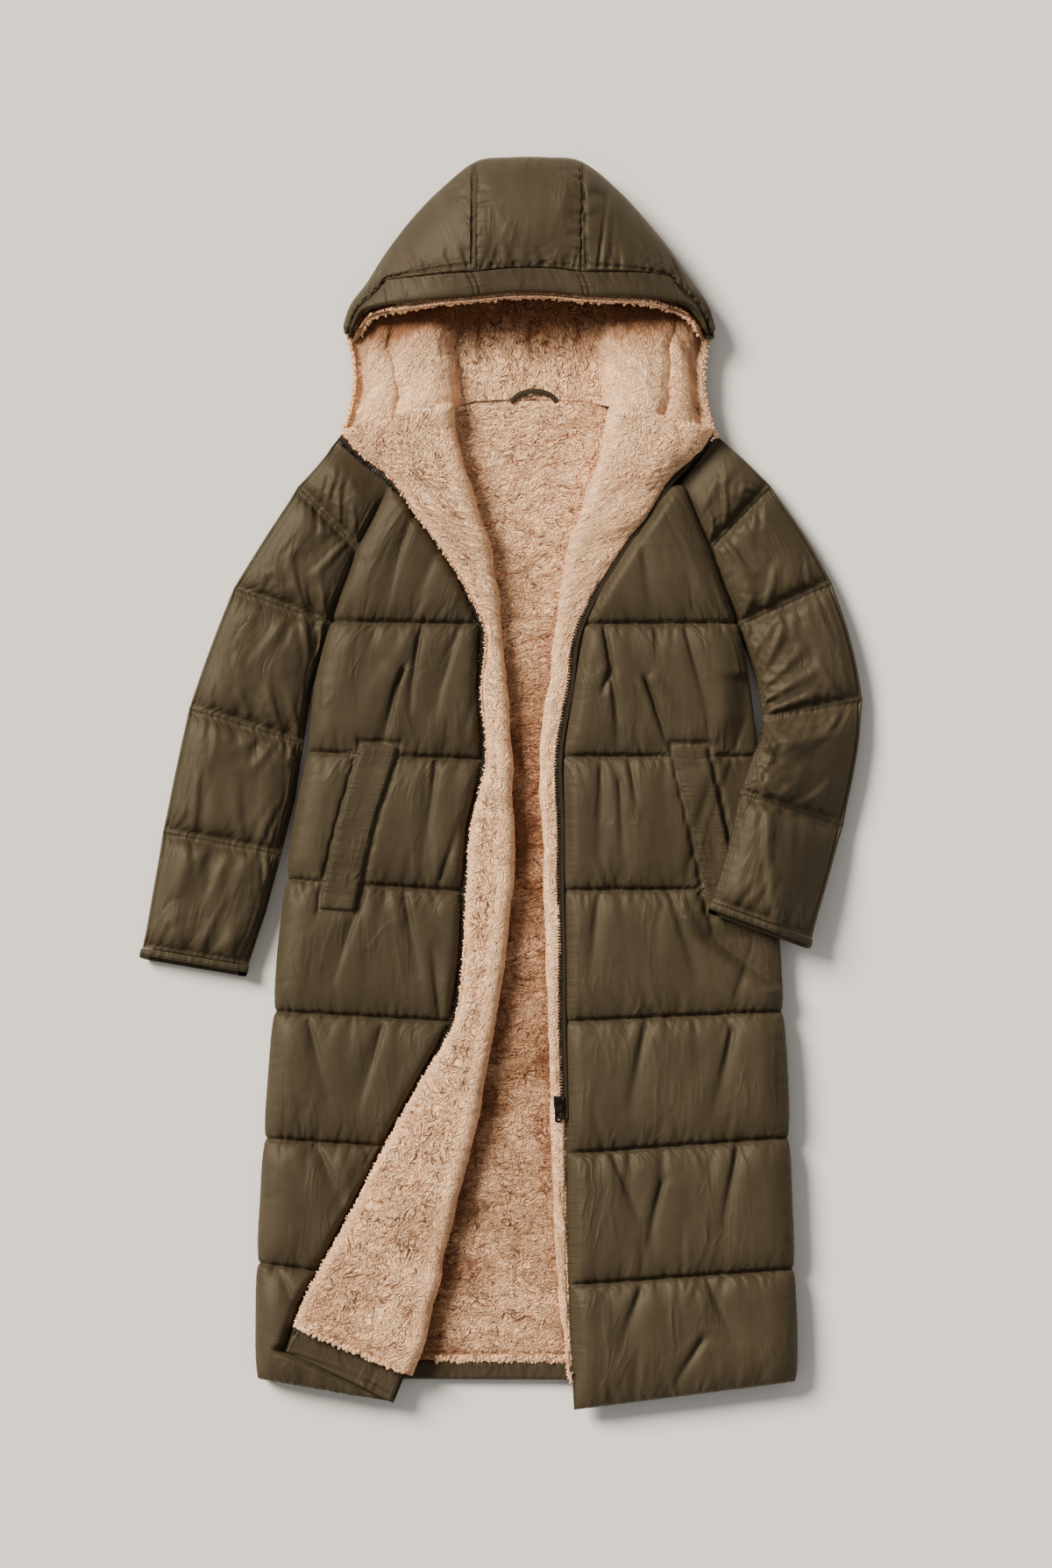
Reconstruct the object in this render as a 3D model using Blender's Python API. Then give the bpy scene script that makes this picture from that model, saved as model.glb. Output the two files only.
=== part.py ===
"""Long hooded puffer coat, lying open and face up on a flat surface.

Units are metres in the scene. Every table and size below is in millimetres.
+X runs to the wearer's left, +Y from hem to hood, +Z up from the surface.
Body, sleeves and hood are walls of padded cloth. Each wall is worked out as an
outer and an inner grid of points, from a table with one row per quilting seam.
A row number counts quilted channels, so whole numbers are the sewn lines.
"""
import bmesh
import bpy
import numpy as np

MM = 0.001

# Layers of the coat, counted up from the surface
GAP = 0.3
BACK_SHELL = 12.0
LINING = 4.5
BACK_LINING_Z = BACK_SHELL + GAP
FRONT_LINING_Z = BACK_LINING_Z + LINING + GAP
FRONT_SHELL_Z = FRONT_LINING_Z + LINING + GAP
SIDE_SEAM_Z = 20.0
SEAM_WALL = 3.0

# Padding of the quilted channels
SEAM_THICK = 5.0
CROWN_THICK = 21.0
EDGE_THICK = 7.0
TURNED_THICK = 5.0
FLEECE_TOP = 5.0
SIDE_ROUND = 30.0
BASE_ROUND = 10.0
SEAM_TURN = 20.0
RAGLAN_RISE = 0.25
EDGE_SLOPE = 36.0
EDGE_FLAT = 7.0
RAGLAN_CHANNEL = 6.0
TOP_CHANNEL = 7.0
NECK_CHANNEL = 8.0
FRONT_RAGLAN_ROWS = (6.25, 6.5, 6.75)
SLEEVE_RAGLAN_ROWS = (0.5, 1.5)

# Rows of a channel that get a ring of points, as parts of its height
CHANNEL_STATIONS = (0.0, 0.08, 0.3, 0.7, 0.92)
CHANNEL_FULLNESS = 0.55
ROW_SPACE = 0.06
ROW_MARGIN = 0.02

# Points across a front panel, as parts of what shows, and the turned corner (y, x)
ACROSS_FRONT = (0, 0.03, 0.09, 0.24, 0.46, 0.66, 0.84, 1.0)
TURNED_CORNER = (-730.0, -119.0)
ACROSS_TURNED = (0.0, 0.45, 1.0)
TURNED_ANGLES = (-60.0, -20.0, 20.0, 60.0)
ACROSS_SAMPLES = 401

# Front panels: where each sewn line and each mid-channel line starts at the side
# seam, turns at the fold beside the opening, and ends at the zip edge
FRONT_COLUMNS = ("channel", "side_x", "side_y", "fold_x", "fold_y", "edge_x", "edge_y")
FRONT_RIGHT = (
    (0.00, -285, -698, -119, -730, -254, -666),
    (0.50, -284, -629, -94, -663, -235, -609),
    (1.00, -284, -562, -77, -591, -208, -559),
    (1.50, -279, -488, -57, -509, -170, -488),
    (2.00, -276, -416, -39, -433, -131, -412),
    (2.50, -270, -341, -22, -356, -93, -344),
    (3.00, -265, -267, -9, -281, -56, -279),
    (3.50, -259, -192, 2, -202, -46, -202),
    (4.00, -250, -112, 10, -129, -42, -128),
    (4.50, -239, -37, 12, -50, -37, -50),
    (5.00, -225, 37, 12, 27, -19, 28),
    (5.50, -216, 117, 7, 107, -25, 107),
    (6.00, -198, 190, 1, 187, -23, 187),
    (6.25, -183, 233, -6, 232, -44, 232),
    (6.50, -167, 275, -15, 275, -71, 275),
    (6.75, -147, 313, -27, 313, -99, 313),
    (7.00, -128, 351, -39, 351, -125, 350),
    (7.50, -128, 352, -49, 392, -158, 379),
    (8.00, -128, 352, -58, 440, -190, 407),
)
FRONT_LEFT = (
    (0.00, 343, -701, 78, -700, 84, -734),
    (0.50, 342, -634, 70, -645, 79, -645),
    (1.00, 340, -569, 64, -577, 77, -588),
    (1.50, 336, -490, 61, -496, 75, -506),
    (2.00, 334, -415, 58, -428, 74, -434),
    (2.50, 331, -341, 56, -356, 73, -356),
    (3.00, 327, -267, 53, -279, 71, -279),
    (3.50, 323, -197, 51, -202, 71, -202),
    (4.00, 316, -123, 49, -125, 69, -125),
    (4.50, 308, -47, 47, -47, 69, -47),
    (5.00, 298, 32, 45, 32, 67, 32),
    (5.50, 287, 112, 54, 112, 80, 112),
    (6.00, 273, 188, 63, 187, 93, 187),
    (6.25, 257, 231, 69, 232, 115, 232),
    (6.50, 241, 275, 77, 275, 143, 275),
    (6.75, 225, 312, 90, 313, 170, 313),
    (7.00, 209, 350, 104, 351, 194, 349),
    (7.50, 209, 350, 116, 392, 224, 379),
    (8.00, 209, 350, 126, 440, 250, 408),
)

# Height of the turned-out fleece over the surface, at its edge and at its crest
FLEECE_COLUMNS = ("channel", "edge_z", "crest_z")
FLEECE_RIGHT = (
    (0.0, 39.5, 39.5),
    (5.5, 39.5, 39.5),
    (6.0, 39.5, 41.0),
    (6.5, 39.5, 45.0),
    (7.0, 39.5, 50.0),
    (7.5, 33.0, 53.0),
    (8.0, 27.2, 54.0),
)
FLEECE_LEFT = (
    (0.0, 28.7, 28.7),
    (5.5, 28.7, 29.5),
    (6.0, 28.7, 33.0),
    (6.5, 28.7, 41.0),
    (7.0, 28.7, 49.0),
    (7.5, 28.0, 53.0),
    (8.0, 27.2, 54.0),
)
CREST_SLOPE = 45.0
CREST_START = 9.0
ACROSS_UNDER = (0.0, 0.5, 1.0)
ACROSS_FLEECE = (0.0, 0.35, 0.7, 1.0)
FLEECE_ANGLES = (-60.0, -30.0, 0.0, 30.0, 60.0)
NECK_START = 0.65
RIGHT_FLEECE_FROM = 0.27
LEFT_FLEECE_FROM = 0.06

# Raglan sleeves: outer fold, front seam or underarm, back seam or underarm
SLEEVE_COLUMNS = ("channel", "outer_x", "outer_y", "front_x", "front_y",
                  "back_x", "back_y", "lift_in", "lift_out")
SLEEVE_RIGHT = (
    (0.00, -191, 407, -129, 352, -70, 438, 0, 0),
    (0.50, -216, 377, -148, 313, -106, 377, 0, 0),
    (1.00, -240, 348, -168, 275, -137, 312, 0, 0),
    (1.50, -279, 290, -184, 233, -170, 247, 0, 0),
    (2.00, -315, 229, -200, 188, -200, 188, 0, 0),
    (2.50, -343, 161, -223, 112, -223, 112, 0, 0),
    (3.00, -367, 89, -233, 48, -233, 48, 0, 0),
    (3.50, -384, 16, -243, -18, -243, -18, 0, 0),
    (4.00, -398, -56, -259, -82, -259, -82, 0, 0),
    (4.50, -411, -127, -277, -150, -277, -150, 0, 0),
    (5.00, -422, -192, -298, -213, -298, -213, 0, 0),
)
SLEEVE_LEFT = (
    (0.00, 252, 408, 210, 351, 136, 438, 0, 0),
    (0.50, 285, 381, 226, 312, 177, 377, 0, 0),
    (1.00, 314, 350, 242, 275, 208, 310, 0, 0),
    (1.50, 355, 293, 258, 231, 244, 243, 0, 0),
    (2.00, 386, 236, 275, 186, 275, 186, 0, 0),
    (2.50, 409, 172, 295, 128, 295, 128, 0, 0),
    (3.00, 422, 99, 306, 76, 306, 76, 4, 0),
    (3.25, 421, 61, 299, 47, 299, 47, 38, 0),
    (3.50, 416, 25, 289, 23, 289, 23, 38, 0),
    (4.00, 400, -49, 278, -10, 278, -10, 38, 0),
    (4.50, 382, -117, 264, -74, 264, -74, 38, 8),
    (5.00, 363, -181, 245, -138, 245, -138, 38, 14),
)
SLEEVE_ROUND = 26.0
SLEEVE_FLOOR_ROUND = 18.0
SLEEVE_INSET = 9.0
UNDERARM_CHANNEL = 2.0
CUFF_LENGTH = 9.0
CUFF_SWELL = 0.03

# Points round a sleeve, as parts of its width from the seam, and where its tube closes
AROUND_SLEEVE = (0, 0.04, 0.14, 0.32, 0.54, 0.76, 0.9, 0.97)
TUBE_FROM = 1.5
LIFT_EASE = 4.0

# Where the sleeve presses the left front flat: width from the side seam
PRESS_SLOPE = 30.0
PRESS_COLUMNS = ("channel", "width")
PRESS_LEFT = (
    (0.0, 0),
    (3.2, 0),
    (3.6, 70),
    (4.0, 85),
    (4.5, 62),
    (5.0, 26),
    (5.3, 6),
    (5.6, 0),
    (7.0, 0),
)

# Hood: for each station, the edge over the face, the outline, and the neck seam
HOOD_COLUMNS = ("station", "brim_x", "brim_y", "rim_x", "rim_y", "neck_x", "neck_y",
                "bow", "arch", "shell")
HOOD = (
    (0, -182, 521, -185, 534, -190, 408.0, 13, 0, 3),
    (1, -169, 551, -176, 560, -168, 413.7, 10, 12, 8),
    (2, -152, 559, -157, 586, -142, 420.4, 5, 24, 10),
    (3, -130, 562, -133, 624, -114, 427.6, 0, 34, 10),
    (4, -102, 564, -103, 664, -88, 434.3, 0, 32, 10),
    (5, -68, 567, -70, 699, -62, 441.0, 0, 5, 10),
    (6, -32, 569, -31, 730, -32, 448.0, 0, 0, 10),
    (7, 10, 573, 10, 735, 10, 450.0, 0, 0, 10),
    (8, 54, 573, 52, 735, 54, 450.0, 0, 0, 10),
    (9, 96, 569, 93, 730, 96, 448.0, 0, 0, 10),
    (10, 131, 569, 134, 697, 128, 441.0, 0, 5, 10),
    (11, 165, 569, 166, 661, 152, 434.8, 0, 32, 10),
    (12, 193, 566, 195, 624, 178, 428.0, 0, 34, 10),
    (13, 215, 562, 220, 587, 204, 421.2, -5, 24, 10),
    (14, 232, 550, 238, 560, 229, 414.7, -10, 12, 8),
    (15, 245, 520, 247, 534, 251, 409.0, -12, 0, 3),
)
HOOD_SEAMS = (6.0, 9.0)
HOOD_ENDS = (0.0, 15.0)
CENTRE_WIDTH = 40.0
OUTLINE_BLUR = 6.0
OUTLINE_SAMPLES = 91
NECK_SAMPLES = 13
HOOD_EDGE_Z = 20.0
HOOD_RISE = 74.0
HOOD_DOME = 112.0
HOOD_FLOOR_ROUND = 20.0
HOOD_LINING = 5.0
HOOD_GAP = 0.5
HOOD_SEAM_GAP = 0.5
BRIM_WIDTH = 28.0
BRIM_THICK = 8.0
BRIM_SHOW = 6.0
BRIM_SEAM = 0.8
ARCH_END = (532.0, 598.0)
ROOF_STATIONS = (0.0, 0.3, 0.55, 0.75, 0.9, 0.97)
FLOOR_STATIONS = (0.0, 0.03, 0.1, 0.22, 0.4, 0.6, 0.8, 1.0)
BAND_STATIONS = (0.0, 0.35, 0.75, 1.0)
RIGHT_SIDE_STATIONS = (0, 0.5, 1, 1.5, 2, 3, 4, 5)
LEFT_SIDE_STATIONS = (10, 11, 12, 13, 13.5, 14, 14.5, 15)
CENTRE_STATIONS = (7, 8)

# Back panel and its lining
BACK_COLUMNS = ("channel", "right_x", "right_y", "left_x", "left_y")
BACK = (
    (0.00, -285, -698, 343, -701),
    (0.50, -284, -629, 342, -634),
    (1.00, -284, -562, 340, -569),
    (1.50, -279, -488, 336, -490),
    (2.00, -276, -416, 334, -415),
    (2.50, -270, -341, 331, -341),
    (3.00, -265, -267, 327, -267),
    (3.50, -259, -192, 323, -197),
    (4.00, -250, -112, 316, -123),
    (4.50, -239, -37, 308, -47),
    (5.00, -225, 37, 298, 32),
    (5.50, -216, 117, 287, 112),
    (6.00, -198, 190, 273, 188),
    (6.25, -169, 247, 243, 244),
    (6.50, -136, 312, 207, 311),
    (6.75, -105, 377, 176, 378),
    (7.00, -69, 438, 135, 438),
)
BACK_ROWS = (0, 0.5, 1, 1.5, 2, 2.5, 3, 3.5, 4, 4.5, 5, 5.5, 6, 6.25, 6.5, 6.75, 7)
BACK_CURL = (0.0, 0.12, 0.4, 1.05)
BACK_ACROSS = (0.3, 0.5, 0.7)
LINING_COLUMNS = 9
BACK_ROUND = 14.0
BACK_EDGE_INSET = 24.0
HEM_FACING_WIDTH = 22.0
HEM_FACING_THICK = 3.0
CORNER_ROWS = (0.0, 0.12, 0.264)
CORNER_COLUMNS = 6

# Pocket welts, as channel rows and parts of the way from side seam to zip edge
WELT_COLUMNS = ("channel", "outer", "inner")
WELT_RIGHT = (
    (3.80, 0.195, 0.385),
    (5.06, 0.290, 0.500),
)
WELT_LEFT = (
    (3.82, 0.150, 0.300),
    (5.06, 0.255, 0.425),
)
WELT_THICK = 2.5
WELT_POINTS = 7
WELT_RIGHT_LIFT = 0.6
WELT_LEFT_LIFT = 1.9

# Zip tape, slider, pull tab and hang loop
TAPE_THICK = 1.0
TAPE_OUT = 6.5
TAPE_ON_SHELL = 6.0
TAPE_OVER_FLEECE = 5.0
TAPE_RIGHT_ABOVE = -6.3
TAPE_LEFT_ABOVE = 0.5
TAPE_CLEAR = 0.5
TAPE_RIGHT_FROM = 2.30
TAPE_LEFT_FROM = 2.26
TAPE_LEFT_TO = 7.92
SLIDER_AT = (66.0, -373.0)
SLIDER_SIZE = (11.0, 14.0, 5.0)
SLIDER_TOP_WIDTH = 12.5
SLIDER_FOOT_CUT = 0.6
SLIDER_TOP_CUT = (1.6, 1.2)
BAIL_ROOT = 1.0
BAIL_POINTS = 13
BAIL_INNER = 1.5
BAIL_OUTER = 3.1
BAIL_WIDTH = 2.2
BAIL_HEIGHT = 2.0
PULL_SIZE = (9.0, 25.0, 1.3)
PULL_WINDOW = (4.4, 3.9)
PULL_SLOT = (4.0, 2.0)
PULL_BAR = 0.8
PULL_NOSE = 1.4
PULL_SLOT_FROM = 2.6
PULL_DROOP = 7.0
LOOP_PATH = ((10.0, 447.0), (17.0, 454.5), (27.0, 459.0), (38.0, 460.5),
             (48.0, 459.0), (58.0, 454.5), (64.0, 447.0))
LOOP_WIDTH = 6.0
LOOP_THICK = 2.0
LOOP_LIFT = 0.25

SHELL_COLOUR = (0.105, 0.085, 0.047, 1.0)
FLEECE_COLOUR = (0.66, 0.41, 0.27, 1.0)
TAPE_COLOUR = (0.035, 0.028, 0.018, 1.0)
METAL_COLOUR = (0.03, 0.027, 0.024, 1.0)


def material(name, colour, roughness, metallic=0.0):
    """Plain Principled surface."""
    made = bpy.data.materials.new(name)
    made.use_nodes = True
    shader = made.node_tree.nodes["Principled BSDF"]
    shader.inputs["Base Color"].default_value = colour
    shader.inputs["Roughness"].default_value = roughness
    shader.inputs["Metallic"].default_value = metallic
    made.diffuse_color = colour
    return made


def read(table, columns, name, at):
    """Smooth curve through one named column of a table, read at each row number."""
    rows = np.array(table, dtype=float)
    knots = rows[:, 0]
    values = rows[:, columns.index(name)]
    slope = np.gradient(values, knots)
    at = np.clip(np.asarray(at, dtype=float), knots[0], knots[-1])
    low = np.clip(np.searchsorted(knots, at, side="right") - 1, 0, len(knots) - 2)
    span = knots[low + 1] - knots[low]
    t = (at - knots[low]) / span
    rise = t * t * (3 - 2 * t)
    return (values[low] * (1 - rise) + values[low + 1] * rise
            + span * slope[low] * t * (1 - t) ** 2
            - span * slope[low + 1] * t * t * (1 - t))


def straight(table, columns, name, at):
    """Straight lines through one named column of a table."""
    rows = np.array(table, dtype=float)
    return np.interp(at, rows[:, 0], rows[:, columns.index(name)])


def rounded(t):
    """Quarter circle: 0 at t = 0 and level at t = 1."""
    return np.sqrt(1 - (1 - np.clip(t, 0, 1)) ** 2)


def eased(t):
    """Soft step from 0 to 1."""
    t = np.clip(t, 0, 1)
    return t * t * (3 - 2 * t)


def channel_rows(first, last, fixed=()):
    """Row numbers from first to last: the stations of every channel and the fixed rows."""
    rows = [whole + part for whole in range(int(np.floor(first)), int(np.ceil(last)))
            for part in CHANNEL_STATIONS]
    kept = [row for row in rows if all(abs(row - place) > ROW_SPACE for place in fixed)]
    between = [row for row in kept + list(fixed)
               if first + ROW_MARGIN < row < last - ROW_MARGIN]
    return np.array(sorted([first] + between + [last]))


def fullness(channel):
    """Padding between sewn lines: 0 on a line and 1 in mid-channel."""
    part = channel - np.floor(channel)
    return (4 * part * (1 - part)) ** CHANNEL_FULLNESS


def wall(name, outer, inner, surface):
    """Closed wall between an outer and an inner grid of points, given in millimetres."""
    rows, columns = outer.shape[:2]
    points = np.concatenate([outer.reshape(-1, 3), inner.reshape(-1, 3)]) * MM
    index = np.arange(rows * columns).reshape(rows, columns)
    near, right = index[:-1, :-1].ravel(), index[:-1, 1:].ravel()
    far, across = index[1:, :-1].ravel(), index[1:, 1:].ravel()
    skin = np.concatenate([np.stack([near, far, across], -1),
                           np.stack([near, across, right], -1)])
    border = np.concatenate([index[0, :], index[1:, -1], index[-1, -2::-1],
                             index[-2:0:-1, 0]])
    after = np.roll(border, -1)
    under = rows * columns
    rim = np.concatenate([np.stack([border, after, after + under], -1),
                          np.stack([border, after + under, border + under], -1)])
    faces = np.concatenate([skin, skin[:, ::-1] + under, rim])
    return solid(name, points, faces.tolist(), surface)


def solid(name, points, faces, surface, origin=(0.0, 0.0, 0.0)):
    """One closed object with outward faces, its origin moved to the given point."""
    mesh = bpy.data.meshes.new(name)
    mesh.from_pydata((np.asarray(points) - np.array(origin)).tolist(), [], faces)
    shape = bmesh.new()
    shape.from_mesh(mesh)
    bmesh.ops.recalc_face_normals(shape, faces=shape.faces)
    shape.to_mesh(mesh)
    shape.free()
    mesh.materials.append(surface)
    made = bpy.data.objects.new(name, mesh)
    made.location = origin
    bpy.context.scene.collection.objects.link(made)
    return made


def ends(table, channel, which):
    """Plan points of one end of every row of a front table; side seams run straight."""
    curve = straight if which == "side" else read
    return np.stack([curve(table, FRONT_COLUMNS, which + "_x", channel),
                     curve(table, FRONT_COLUMNS, which + "_y", channel)], -1)


def fold_line(table, heights, channel):
    """Centre of the fold of every row, and the way across it from the zip edge."""
    fold = ends(table, channel, "fold")
    edge = ends(table, channel, "edge")
    crest_z = straight(heights, FLEECE_COLUMNS, "crest_z", channel)[:, None]
    across = fold - edge
    across = across / np.linalg.norm(across, axis=-1, keepdims=True)
    return fold - across * (crest_z - FRONT_LINING_Z) / 2, across


def edge_x_at(table, y, corner=None):
    """Where the zip edge runs at a height up the coat; corner adds the turned hem."""
    rows = np.array(table, dtype=float)[:, [6, 5]]
    if corner is not None:
        rows = np.concatenate([[corner], rows])
    return np.interp(y, rows[:, 0], rows[:, 1])


def visible_length(table, side, reach, inward, corner):
    """How far along each row the shell shows before the flat strip beside its edge."""
    part = np.linspace(0, 1, ACROSS_SAMPLES)
    plan = side[:, None] + (reach - side)[:, None] * part[None, :, None]
    beside = inward * (edge_x_at(table, plan[..., 1], corner) - plan[..., 0])
    covered = beside < EDGE_FLAT
    first = np.where(covered.any(axis=1), covered.argmax(axis=1), len(part) - 1)
    return part[first]


def shell_depth(table, channel, along, plan, inward, press=None, corner=None):
    """Thickness of a padded front: full in the channels, thin at seams and zip edge."""
    full = SEAM_THICK + (CROWN_THICK - SEAM_THICK) * fullness(channel)[:, None]
    beside = inward * (edge_x_at(table, plan[..., 1], corner) - plan[..., 0])
    depth = EDGE_THICK + (full - EDGE_THICK) * eased((beside - EDGE_FLAT) / EDGE_SLOPE)
    if press is not None:
        width = straight(press, PRESS_COLUMNS, "width", channel)[:, None]
        loose = np.where(width > 0, eased((along - width) / PRESS_SLOPE), 1.0)
        depth = EDGE_THICK + (depth - EDGE_THICK) * loose
    return depth


def bent(centre, across, turn, radius, level):
    """Points round a fold: half circles that start under it and end over it."""
    reach = radius * np.cos(turn)
    plan = centre[:, None] + across[:, None] * (reach + centre[:, :1] * 0)[..., None]
    height = level + radius * np.sin(turn)
    return np.concatenate([plan, (plan[..., 0] * 0 + height)[..., None]], -1)


def layer(plan, level):
    """Plan points with a height each."""
    return np.concatenate([plan, (plan[..., 0] * 0 + level)[..., None]], -1)


def front_shell(name, table, heights, inward, surface, press=None, turned=False):
    """A front panel; a turned one goes on round its fold and back to the zip edge."""
    channel = channel_rows(0.0, TOP_CHANNEL, FRONT_RAGLAN_ROWS)
    side = ends(table, channel, "side")
    edge = ends(table, channel, "edge")
    centre, fold_way = fold_line(table, heights, channel)
    reach = centre if turned else edge
    corner = TURNED_CORNER if turned else None
    across = np.array(ACROSS_FRONT)
    shown = visible_length(table, side, reach, inward, corner)[:, None]
    steps = np.concatenate([shown * across[None], shown * 0 + 1], 1)
    plan = side[:, None] + (reach - side)[:, None] * steps[..., None]
    along = np.linalg.norm(plan - side[:, None], axis=-1)
    depth = shell_depth(table, channel, along, plan, inward, press, corner)
    raglan = np.clip((channel - RAGLAN_CHANNEL) / RAGLAN_RISE, 0, 1)[:, None]
    rim_outer = SIDE_SEAM_Z + GAP + (FRONT_SHELL_Z + SEAM_THICK - SIDE_SEAM_Z - GAP) * raglan
    rim_inner = SIDE_SEAM_Z + GAP + (FRONT_SHELL_Z - SIDE_SEAM_Z - GAP) * raglan
    roll = rounded(along / SIDE_ROUND)
    top = rim_outer + (FRONT_SHELL_Z + depth - rim_outer) * roll
    base = rim_inner + (FRONT_SHELL_Z - rim_inner) * rounded(along / BASE_ROUND)
    outer = layer(plan, top)
    inner = layer(plan, base)
    inner[..., 0] += (1 - raglan) * SEAM_WALL * (1 - np.clip(along / SEAM_TURN, 0, 1)) * inward
    if turned:
        turn = np.radians(TURNED_ANGLES)
        radius = (EDGE_THICK + GAP + TURNED_THICK) / 2
        face_z = FRONT_SHELL_Z + EDGE_THICK + GAP / 2
        back = np.array(ACROSS_TURNED)
        flat = centre[:, None] + (edge - centre)[:, None] * back[None, :, None]
        turned_z = face_z + GAP / 2
        outer = np.concatenate([outer, bent(centre, fold_way, turn, GAP / 2, face_z),
                                layer(flat, turned_z)], 1)
        inner = np.concatenate([inner, bent(centre, fold_way, turn, radius,
                                            FRONT_SHELL_Z + radius),
                                layer(flat, turned_z + TURNED_THICK)], 1)
    wall(name, outer, inner, surface)
    return channel, across, outer


def front_lining(name, table, heights, inward, first, surface):
    """Fleece of a front: under the shell, round the fold, then out to the zip edge."""
    channel = channel_rows(first, NECK_CHANNEL, FRONT_RAGLAN_ROWS)
    side = ends(table, channel, "side")
    fold = ends(table, channel, "fold")
    edge = ends(table, channel, "edge")
    centre, fold_way = fold_line(table, heights, channel)
    crest_z = straight(heights, FLEECE_COLUMNS, "crest_z", channel)[:, None]
    edge_z = straight(heights, FLEECE_COLUMNS, "edge_z", channel)[:, None]
    start = side + np.array([inward * BACK_EDGE_INSET, 0.0])
    neck = np.clip((channel - RAGLAN_CHANNEL) / 2, 0, 1)[:, None]
    start = start * (1 - neck) + (edge + (fold - edge) * NECK_START) * neck
    under = start[:, None] + (centre - start)[:, None] * np.array(ACROSS_UNDER)[None, :, None]
    last = edge + fold_way * GAP
    length = np.linalg.norm(last - centre, axis=-1)[:, None]
    level_part = np.maximum(1 - CREST_START / length, 0.5)
    back = np.concatenate([level_part * np.array(ACROSS_FLEECE)[None], length * 0 + 1], 1)
    flat = centre[:, None] + (last - centre)[:, None] * back[..., None]
    away = np.linalg.norm(flat - last[:, None], axis=-1)
    top = edge_z + (crest_z - edge_z) * eased((away - CREST_START) / CREST_SLOPE)
    turn = np.radians(FLEECE_ANGLES)
    outer_radius = (top[:, :1] - FRONT_LINING_Z) / 2
    inner_radius = (top[:, :1] - FLEECE_TOP - FRONT_LINING_Z - LINING) / 2
    outer = np.concatenate([
        layer(under, FRONT_LINING_Z),
        bent(centre, fold_way, turn, outer_radius, FRONT_LINING_Z + outer_radius),
        layer(flat, top)], 1)
    inner = np.concatenate([
        layer(under, FRONT_LINING_Z + LINING),
        bent(centre, fold_way, turn, inner_radius, FRONT_LINING_Z + LINING + inner_radius),
        layer(flat, top - FLEECE_TOP)], 1)
    wall(name, outer, inner, surface)


def sleeve_rings(table, channel, body):
    """Outer and inner rings of a sleeve, from its front seam over and under to its back."""
    outer_fold = np.stack([read(table, SLEEVE_COLUMNS, "outer_x", channel),
                           read(table, SLEEVE_COLUMNS, "outer_y", channel)], -1)
    front = np.stack([straight(table, SLEEVE_COLUMNS, "front_x", channel),
                      straight(table, SLEEVE_COLUMNS, "front_y", channel)], -1)
    back = np.stack([straight(table, SLEEVE_COLUMNS, "back_x", channel),
                     straight(table, SLEEVE_COLUMNS, "back_y", channel)], -1)
    lift_in = straight(table, SLEEVE_COLUMNS, "lift_in", channel)[:, None]
    lift_out = straight(table, SLEEVE_COLUMNS, "lift_out", channel)[:, None]
    tube = eased((channel - TUBE_FROM) / (UNDERARM_CHANNEL - TUBE_FROM))[:, None]
    ramp = eased(channel / 0.5) * fullness(channel)
    puffed = (SEAM_THICK + (CROWN_THICK - SEAM_THICK) * ramp)[:, None]
    across = np.array(AROUND_SLEEVE)
    grids = []
    for start, upper in ((front, True), (back, False)):
        width = np.linalg.norm(outer_fold - start, axis=-1)[:, None]
        parts = across if upper else np.append(across, 1.0)[::-1]
        from_start = width * parts[None, :]
        from_fold = width - from_start
        middle = SIDE_SEAM_Z + (GAP / 2 if upper else -GAP / 2)
        curl_in = rounded(from_start / (SLEEVE_ROUND if upper else SLEEVE_FLOOR_ROUND))
        curl_out = rounded(from_fold / (SLEEVE_ROUND if upper else SLEEVE_FLOOR_ROUND))
        open_z = FRONT_SHELL_Z + SEAM_THICK if upper else 0.0
        far_z = FRONT_SHELL_Z + puffed if upper else 0.0
        skin_in = middle + (open_z - middle) * (1 - tube)
        skin = skin_in + (SIDE_SEAM_Z + (far_z - SIDE_SEAM_Z) * curl_out - skin_in) * curl_in
        if upper:
            skin = np.where(parts[None, :] == 0, skin_in, skin)
        centre = (BACK_SHELL + FRONT_SHELL_Z) / 2 + (GAP / 2 if upper else -GAP / 2)
        plain = FRONT_SHELL_Z if upper else BACK_SHELL
        lining_in = centre + (plain - centre) * (1 - tube)
        lining = lining_in + (centre + (plain - centre) * curl_out - lining_in) * curl_in
        inset_in = SLEEVE_INSET * tube / np.maximum(width, 1)
        inset_out = SLEEVE_INSET / np.maximum(width, 1)
        shrunk = inset_in + (1 - inset_in - inset_out) * parts[None, :]
        plan = start[:, None] + (outer_fold - start)[:, None] * parts[None, :, None]
        plan_in = start[:, None] + (outer_fold - start)[:, None] * shrunk[..., None]
        for spot, level in ((plan, skin), (plan_in, lining)):
            edge = np.interp(spot[..., 1], body[:, 0], body[:, 1])
            run = np.maximum(outer_fold[:, None, 0] - edge, 1.0)
            drop = eased((spot[..., 0] - edge + LIFT_EASE) / run)
            raised = level + lift_out + (lift_in - lift_out) * (1 - drop)
            grids.append(np.concatenate([spot, raised[..., None]], -1))
    return np.concatenate([grids[0], grids[2]], 1), np.concatenate([grids[1], grids[3]], 1)


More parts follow.
